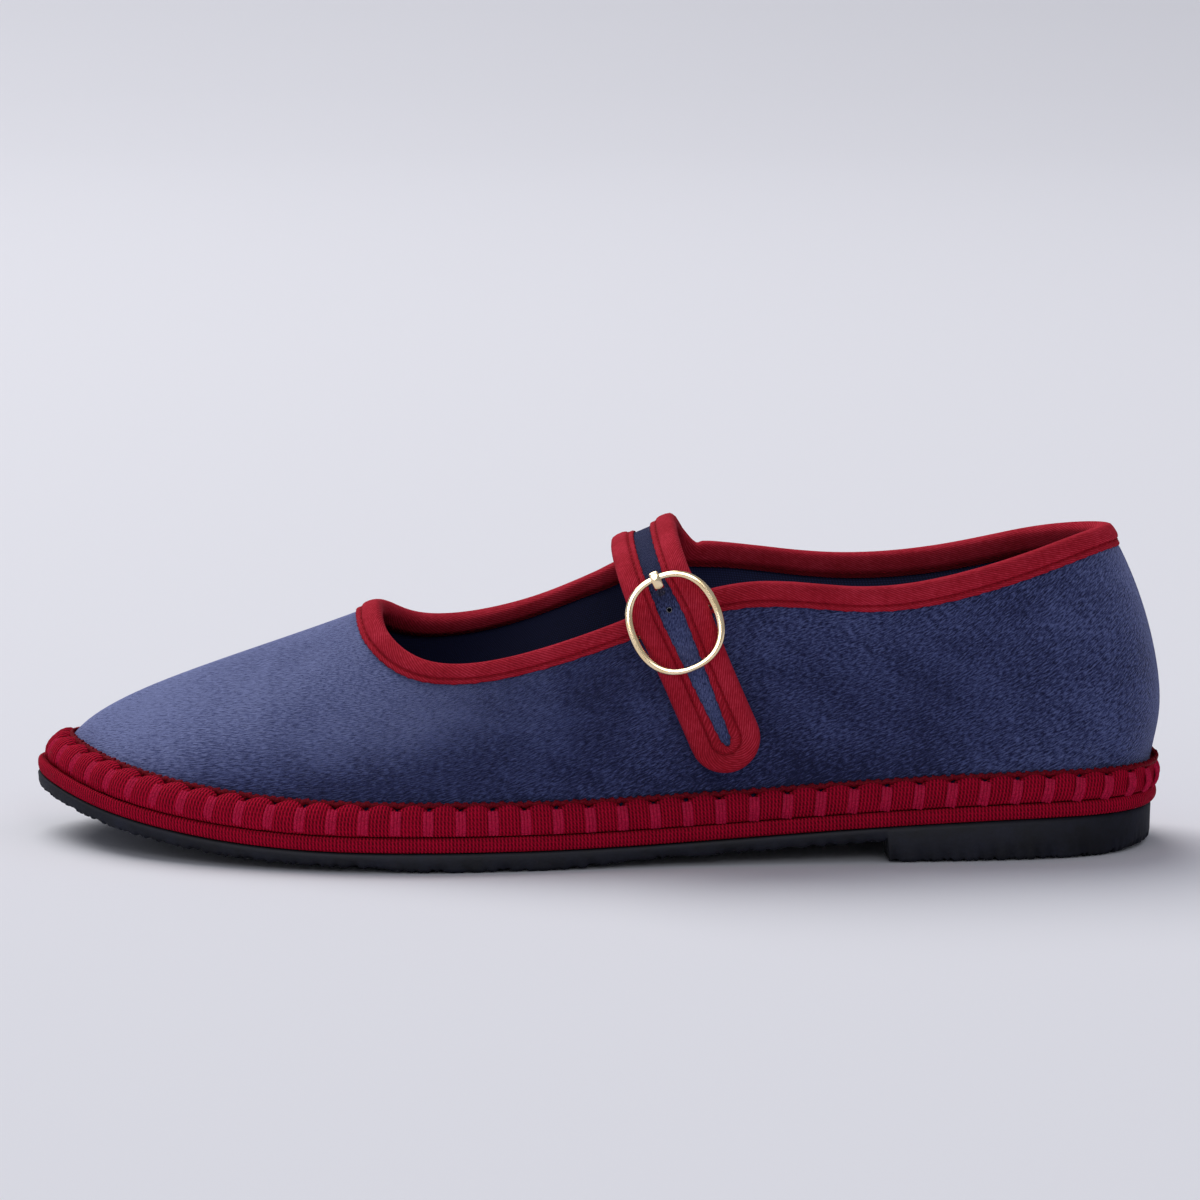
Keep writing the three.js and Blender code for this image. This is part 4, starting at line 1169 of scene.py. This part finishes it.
# Patches of painted light, or painted shade where negative, on the velvet upper
PAINTED_PATCHES = [
    # along from the heel in mm, share up the wall, half length in mm, half height, painted light
    # added (painted shade where negative)
    (14, 0.5, 22, 0.6, 0.2), (70, 0.9, 32, 0.25, 0.2), (80, 0.12, 34, 0.22, -0.5),
    (34, 0.15, 14, 0.2, 0.2), (160, 0.6, 13, 0.35, -0.16), (138, 0.65, 7, 0.25, 0.16),
    (126, 0.6, 7, 0.4, -0.2), (100, 0.5, 10, 0.3, 0.12), (236, 0.5, 26, 0.7, 0.4),
    (52, 0.45, 9, 0.3, -0.12), (186, 0.4, 20, 0.4, -0.2), (206, 0.12, 26, 0.22, -0.26),
]


def painted_patch_light(points, share):
    """Painted light on the pile from the patches, or painted shade where it is negative."""
    along = LENGTH / 2 - points[..., 0]
    total = np.zeros(along.shape)
    for place, up, wide, tall, amount in PAINTED_PATCHES:
        total += amount * np.exp(-((along - place) / wide) ** 2 - ((share - up) / tall) ** 2)
    return total


class SHOE_OT_upper(bpy.types.Operator):
    """Velvet upper with its lining, soft creases and the seam up the heel back"""
    bl_idname = "shoe.upper"
    bl_label = "Upper"

    def execute(self, context):
        fine = even_angles(480)
        seam = np.radians([-1.2, -0.7, -0.35, 0.35, 0.7, 1.2])
        angle = np.sort(np.mod(np.concatenate([fine, seam]), TURN))
        outside = np.linspace(0, 1, 66)[:, None]
        inside = np.linspace(1, 0, 26)[:, None]
        turn = (angle + math.pi) % TURN - math.pi
        groove = -0.45 * np.exp(-(turn / 0.006) ** 2) + 0.3 * np.exp(
            -((np.abs(turn) - 0.02) / 0.014) ** 2)
        outer = skin(angle, outside)
        push = crease(angle, outside) + groove * ease((1 - outside) / 0.1)
        outer = outer + skin_normal(angle, outside) * push[..., None]
        inner = skin(angle, inside) - skin_normal(angle, inside) * WALL
        inner[-1, :, 2] = foot_level(LENGTH / 2 - inner[-1, :, 0])
        points = np.concatenate([outer, inner])
        shares = np.vstack([outside, inside])
        # Painted light: the pile that faces the sky is painted paler, and the patches add painted
        # light or painted shade
        sky = skin_normal(angle, shares)[..., 2]
        painted_light = ease((sky - 0.15) / 0.7) + painted_patch_light(points, shares)
        obj = build_grid("upper_velvet", points, uv=cloth_uv(points),
                         slots=[0] * 66 + [1] * 26, painted_light=painted_light)
        dress(obj, "upper", "velvet", velvet_material("velvet, cut pile brushed", 0.75, 1.0),
              lining_material())
        return {"FINISHED"}


class SHOE_OT_strap(bpy.types.Operator):
    """Velvet strap from the inner side over the foot to its rounded end"""
    bl_idname = "shoe.strap"
    bl_label = "Strap"

    def execute(self, context):
        straight = STRAP_LENGTH - STRAP_HALF
        along = list(np.linspace(-0.8, straight, 150))
        half = [float(strap_frame(s)[4][0]) for s in along]
        for turn in (15, 30, 45, 58, 70, 80, 86):
            along.append(straight + STRAP_HALF * math.sin(math.radians(turn)))
            half.append(STRAP_HALF * math.cos(math.radians(turn)))
        # The root is drawn in a little, to sit between the tapes
        half[:12] = [h * 0.92 for h in half[:12]]
        across = np.linspace(-1, 1, 13)
        rings = []
        for s, h in zip(along, half):
            level = np.full(len(across), s)
            face = strap_point(level, across * h, 0.12 * (1 - across ** 2))
            back = strap_point(level, across[::-1] * h, -WALL)
            rings.append(np.concatenate([face, back]))
        points = np.stack(rings)
        # Painted shade darkens the pile over the crest, and painted light lightens it towards the
        # strap's end
        walk = np.array(along)
        painted_light = 1.5 * ease((walk - BAR_AT + 14) / 14)[:, None] - 1.1 * ease(walk / 16)[:, None]
        girth = np.concatenate([across * STRAP_HALF, across[::-1] * STRAP_HALF,
                                [-STRAP_HALF]]) + 20
        uv = [[(s * MM, v * MM) for v in girth] for s in along]
        obj = build_grid("strap_velvet", points, close_rows=False, uv=uv, cap=True,
                         painted_light=np.broadcast_to(painted_light, points.shape[:2]))
        dress(obj, "strap", "velvet", velvet_material("velvet, cut pile flattened", 0.3, 0.55))
        return {"FINISHED"}


class SHOE_OT_tape(bpy.types.Operator):
    """Knitted tape folded over the collar and the strap, with its stitches"""
    bl_idname = "shoe.tape"
    bl_label = "Binding tape"

    def execute(self, context):
        coarse, ease_off, pointed = tape_lines()
        lines = closed_spline(coarse, 5)
        loose, pointed = closed_spline(np.stack([ease_off, pointed], 1), 5).T
        count = len(lines)
        wobble = np.array([math.sin(i * 1.7) + math.sin(i * 2.9 + 1) for i in range(count)])
        crest = GAP + TAPE
        flange = TAPE_COVER * (1 + 0.016 * wobble) + pointed
        section = [
            # depth in from the edge, stand off the cloth, painted light (low in the groove and
            # folds: painted shade)
            (flange, GAP, 0.7), (flange, GAP + TAPE * 0.3, 0.8),
            (flange - 0.3, GAP + TAPE * 0.5, 0.9), (GROOVE + 0.5, GAP + TAPE * 0.52, 0.9),
            (GROOVE + 0.2, GAP + TAPE * 0.34, 0.6), (GROOVE, GAP + TAPE * 0.28, 0.4),
            (GROOVE - 0.14, GAP + TAPE * 0.52, 0.6), (GROOVE - 0.32, GAP + TAPE * 0.88, 1),
            (GROOVE - 0.7, GAP + TAPE * 1.06, 1), (TAPE_COVER * 0.45, TAPE_BULGE * 0.99, 1),
            (TAPE_COVER * 0.3, TAPE_BULGE, 1), (TAPE_COVER * 0.12, TAPE_BULGE * 0.97, 1),
            (-crest * 0.3, crest * 0.92, 1), (-crest * 0.62, crest * 0.62, 1),
            (-crest * 0.9, crest * 0.1, 1), (-crest, -WALL / 2, 1),
            (-crest * 0.9, -WALL - crest * 0.1, 1), (-crest * 0.62, -WALL - crest * 0.62, 1),
            (-crest * 0.3, -WALL - crest * 0.92, 1),
            (TAPE_COVER * 0.12, -WALL - TAPE_BULGE * 0.97, 1),
            (TAPE_COVER * 0.3, -WALL - TAPE_BULGE, 1),
            (TAPE_COVER * 0.55, -WALL - TAPE_BULGE * 0.98, 1),
            (TAPE_COVER - 1.1, -WALL - GAP - TAPE * 0.95, 0.7),
            (TAPE_COVER - 0.85, -WALL - GAP - TAPE * 0.6, 0.2),
            (TAPE_COVER * 1.04, -WALL - GAP - TAPE * 0.5, 1),
            (TAPE_COVER * 1.04, -WALL - GAP, 0.6), (-GAP, -WALL - GAP, 1), (-GAP, GAP, 1),
        ]
        rows = []
        for depth, stand, _ in section:
            deep = np.broadcast_to(depth, count)
            place, out = tape_at(lines, float(np.mean(deep)))
            if np.ndim(depth):
                inward = unit(lines[:, 2, :3] - lines[:, 1, :3])
                place = place + inward * (deep - deep.mean())[:, None]
            slack = loose * np.sign(stand + WALL / 2)
            rows.append(place + out * (stand + slack)[:, None])
        points = np.stack(rows)
        # Painted shade: the third value of each row darkens the tape in its groove and folds
        painted_light = np.repeat([[part[2]] for part in section], count, 1)
        obj = build_grid("binding_tape", points, uv=cloth_uv(points), painted_light=painted_light)
        dress(obj, "binding", "tape", tape_material())
        c = colours()
        finish = thread_material("sewing thread, polyester", c.tape_shade, c.tape_body)
        spots, runs, outs = [], [], []
        for side, depth, stand in ((1, GROOVE + 0.1, GAP + TAPE * 0.32),
                                   (-1, TAPE_COVER - 0.95, -WALL - GAP - TAPE * 0.62)):
            place, out = tape_at(lines, depth)
            line = place + out * (stand + loose * side)[:, None]
            closed = np.vstack([line, line[:1]])
            run = walked(closed)
            many = int(run[-1] / (sizes().tape_stitch * METRE))
            goal = (np.arange(many) + 0.5) * run[-1] / many
            spots.append(read_line(goal, run, closed))
            runs.append(unit(read_line(goal + 0.4, run, closed) - spots[-1]))
            outs.append(unit(read_line(goal, run, np.vstack([out, out[:1]]) * side)))
        obj = sew("binding_stitches", np.vstack(spots), np.vstack(runs), np.vstack(outs), finish,
                  Length=sizes().tape_stitch * 0.62, Width=0.00042, Thickness=0.0004,
                  Arch=0.00012, Sink=0.0001, Sides=5)
        dress(obj, None, "tape", finish)
        return {"FINISHED"}


class SHOE_OT_buckle(bpy.types.Operator):
    """Gilt ring with its hidden bar, the prong and the keeper tab"""
    bl_idname = "shoe.buckle"
    bl_label = "Buckle"

    def execute(self, context):
        tall, wide = (BUCKLE_HEIGHT - WIRE) / 2, (BUCKLE_WIDTH - WIRE) / 2
        turn = (np.arange(WIRE_STEPS) + 0.5) * TURN / WIRE_STEPS
        power = 2 / 2.3
        c, s = (np.sign(v) * np.abs(v) ** power for v in (np.cos(turn), np.sin(turn)))
        path = buckle_space(tall * c, wide * s, np.full(WIRE_STEPS, RING_OFF))
        wire = WIRE * (0.88 + 0.28 * np.abs(np.sin(turn)) ** 1.5)
        ring = rod_points(path, BAR[3], WIRE * 0.9, wire, 24, looped=True, power=0.8)
        obj = build_grid("buckle_wire", ring)
        drop = RING_OFF - BAR_OFF
        dip = np.array([(1, 0), (0.99, 0.45), (0.93, 0.8), (0.82, 0.97), (0.66, 1), (0, 1)])
        side = np.stack([dip[:, 0] * wide, RING_OFF - dip[:, 1] * drop], -1)
        bar = np.vstack([side, side[-2::-1] * (-1, 1)])
        bar_path = buckle_space(np.zeros(len(bar)), bar[:, 0], bar[:, 1])
        rod = build_grid("buckle_bar", rod_points(bar_path, BAR[1], WIRE * 0.93, WIRE * 0.93, 12),
                         close_rows=False, cap=True)
        dress(obj, "buckle_ring", "gilt", gilt_material())
        dress(rod, None, "gilt", gilt_material())
        self.prong(tall)
        self.tab()
        self.hole()
        return {"FINISHED"}

    def hole(self):
        """Spare hole between the bar and the ring's top: a black disc of painted shade for its pit,
        with a pressed rim.
        """
        turn = even_angles(14)
        rings = []
        for radius, off in ((0.0, 0.15), (0.42, 0.15), (0.47, 0.2), (0.55, 0.23),
                            (0.66, 0.18), (0.72, 0.05), (0.0, 0.05)):
            rings.append([strap_point(BAR_AT - SPARE_HOLE + radius * math.cos(a),
                                      radius * math.sin(a), off)[0] for a in turn])
        obj = build_grid("strap_hole", np.array(rings), close_rows=False, weld=0.01,
                         slots=[0, 0, 1, 1, 1, 0])
        # Painted shade: the pit is a flat black disc over the velvet
        dress(obj, None, "velvet",
              punched_material("hole through the strap, painted shade", "#000002", 1.0),
              punched_material("punched edge, sealed", "#20243c", 0.25))

    def under(self, down, off):
        """Point on the strap's middle line, off it, or in the buckle's own space near the bar."""
        if off > 0 or abs(down) < 2:
            return buckle_space(down, 0, off)
        return strap_point(BAR_AT + down, 0, off)[0]

    def line_through(self, knots, count):
        """A smooth line of count points through knots of down and off."""
        points = np.array([self.under(*k) for k in knots])
        return smooth_line(points, np.linspace(0, len(points) - 1, count))

    def prong(self, tall):
        """Short prong from the bar, under the strap, up through it and over the ring."""
        low = -WALL - GAP - PRONG / 2
        over = RING_OFF + WIRE / 2 + PRONG * 0.55
        knots = [(WIRE, BAR_OFF - 0.2), (1.3, BAR_OFF + 0.75), (0.5, low), (-1.5, low),
                 (-tall + 4.6, low), (-tall + 3.6, low + 0.5), (-tall + 2.7, 0.3),
                 (-tall + 2.0, over - 0.55), (-tall + 1.1, over - 0.12), (-tall + 0.1, over),
                 (-tall - 0.8, over - 0.15), (-tall - 1.2, over - 0.7)]
        path = self.line_through(knots, 72)
        share = np.linspace(0, 1, len(path))
        width = 1.7 + 0.4 * ease((share - 0.5) / 0.1)
        rings = rod_points(path, BAR[2], width, PRONG, 20, power=0.85)
        obj = build_grid("buckle_tongue", rings, close_rows=False, cap=True)
        dress(obj, "buckle_prong", "gilt", gilt_material())

    def tab(self):
        """Keeper tab from the outer wall up round the bar."""
        stand = WIRE / 2 + GAP + TAB / 2
        past = TAPE_COVER - BAR_DROP

        def on_wall(down):
            place = strap_point(BAR_AT + down, 0, 0)[0]
            foot = outer_wall(LENGTH / 2 - place[0], place[2])
            return GAP + TAB / 2 - float((place - foot) @ BAR[3])
        knots = [(TAB_REACH, on_wall(TAB_REACH)),
                 (TAB_REACH / 2 + past, on_wall(TAB_REACH / 2 + past)),
                 (past + 4 * TAB, on_wall(past + 4 * TAB) + GAP),
                 (past + TAB, on_wall(past + TAB) + TAPE_BULGE), (TAB, BAR_OFF - stand),
                 (-stand * 0.7, BAR_OFF - stand * 0.7), (-stand, BAR_OFF),
                 (-stand * 0.95, BAR_OFF + TAB / 2)]
        path = self.line_through(knots, 48)
        rings = rod_points(path, BAR[2], TAB_WIDTH, TAB, 16, power=0.3)
        uv = [[(s * 0.0005, k * 0.0012) for k in range(17)] for s in range(len(path))]
        obj = build_grid("buckle_keeper", rings, close_rows=False, cap=True, uv=uv)
        dress(obj, "buckle_tab", "tape", tape_material())


# Paper sweep: distance behind the shoe and height there, in metres
SWEEP = [
    (-5.0, 0), (1.8, 0), (1.9, 0), (2.0, 0.002), (2.2, 0.02), (2.4, 0.055), (2.6, 0.11),
    (2.9, 0.22), (3.3, 0.4), (4.2, 0.85), (5.2, 1.4), (5.8, 2.0), (6.0, 3.0), (6.0, 5.0),
]
SWEEP_HALF = 6
# Camera: the point it looks at and its distance in metres, and its lens in millimetres
LOOK_AT = (0.0011, 0, 0.054)
EYE_DISTANCE = 1.4
SENSOR, LENS = 36, 187.8


class SHOE_OT_stage(bpy.types.Operator):
    """Paper sweep, soft studio light and the camera"""
    bl_idname = "shoe.stage"
    bl_label = "Stage"

    def execute(self, context):
        scene = bpy.context.scene
        verts = [(x, y, z) for y, z in SWEEP for x in (-SWEEP_HALF, SWEEP_HALF)]
        faces = [(2 * i, 2 * i + 1, 2 * i + 3, 2 * i + 2) for i in range(len(SWEEP) - 1)]
        mesh = bpy.data.meshes.new("paper_sweep")
        mesh.from_pydata(verts, [], faces)
        mesh.polygons.foreach_set("use_smooth", [True] * len(faces))
        floor = make_object("paper_sweep", mesh)
        floor.data.materials.append(paper_material())
        world = bpy.data.worlds.new("studio")
        world.use_nodes = True
        back = world.node_tree.nodes["Background"]
        back.inputs["Color"].default_value = linear("#f1f3fb")
        back.inputs["Strength"].default_value = 0.36
        scene.world = world
        scene.view_settings.view_transform = "Standard"
        key = self.lamp("key", (-1.45, 1.95, 3.1), (-0.03, 0, 0.03), 3.6, 105, "#fffdfa")
        key.data.spread = math.radians(165)
        self.lamp("strip", (0.25, -1.25, 0.75), (0.02, 0, 0.05), 0.45, 1.3, "#ffffff")
        card = self.lamp("card", (-1.1, -2.8, 2.2), (0.03, 0, 0.05), 5.0, 270, "#ffffff")
        # Seen mostly in the buckle, as gloss
        card.visible_diffuse = False
        data = bpy.data.cameras.new("camera")
        data.sensor_width, data.lens = SENSOR, LENS
        data.clip_start, data.clip_end = 0.05, 30
        camera = bpy.data.objects.new("camera", data)
        scene.collection.objects.link(camera)
        eye = sizes().eye_level
        back_way = Vector((0, -math.cos(eye), math.sin(eye)))
        camera.location = Vector(LOOK_AT) + back_way * EYE_DISTANCE
        camera.rotation_mode = "QUATERNION"
        camera.rotation_quaternion = (-back_way).to_track_quat("-Z", "Y")
        scene.camera = camera
        return {"FINISHED"}

    def lamp(self, name, place, aim, size, power, colour):
        """A round soft lamp, aimed at a point."""
        data = bpy.data.lights.new(name, "AREA")
        data.shape = "DISK"
        data.size, data.energy, data.color = size, power, linear(colour)[:3]
        lamp = bpy.data.objects.new(name, data)
        lamp.location = place
        lamp.rotation_mode = "QUATERNION"
        way = Vector(aim) - Vector(place)
        lamp.rotation_quaternion = way.to_track_quat("-Z", "Y")
        bpy.context.scene.collection.objects.link(lamp)
        return lamp


class SHOE_PT_panel(bpy.types.Panel):
    """Sizes, colours and pieces of the shoe"""
    bl_idname = "SHOE_PT_panel"
    bl_label = "Shoe"
    bl_space_type = "VIEW_3D"
    bl_region_type = "UI"
    bl_category = "Shoe"

    def draw(self, context):
        for group in (context.scene.shoe_sizes, context.scene.shoe_colours):
            for name in group.__annotations__:
                self.layout.prop(group, name)
        for piece in PIECES:
            self.layout.operator(piece.bl_idname)


PIECES = (SHOE_OT_stage, SHOE_OT_outsole, SHOE_OT_midsole, SHOE_OT_welt, SHOE_OT_upper,
          SHOE_OT_strap, SHOE_OT_tape, SHOE_OT_buckle)
CLASSES = (ShoeSizes, ShoeColours) + PIECES + (SHOE_PT_panel,)


def register():
    for made in CLASSES:
        bpy.utils.register_class(made)
    bpy.types.Scene.shoe_sizes = bpy.props.PointerProperty(type=ShoeSizes)
    bpy.types.Scene.shoe_colours = bpy.props.PointerProperty(type=ShoeColours)


def unregister():
    del bpy.types.Scene.shoe_colours
    del bpy.types.Scene.shoe_sizes
    for made in reversed(CLASSES):
        bpy.utils.unregister_class(made)


def main():
    register()
    bpy.ops.shoe.stage()
    bpy.ops.shoe.outsole()
    bpy.ops.shoe.midsole()
    bpy.ops.shoe.welt()
    bpy.ops.shoe.upper()
    bpy.ops.shoe.strap()
    bpy.ops.shoe.tape()
    bpy.ops.shoe.buckle()


if __name__ == "__main__":
    main()
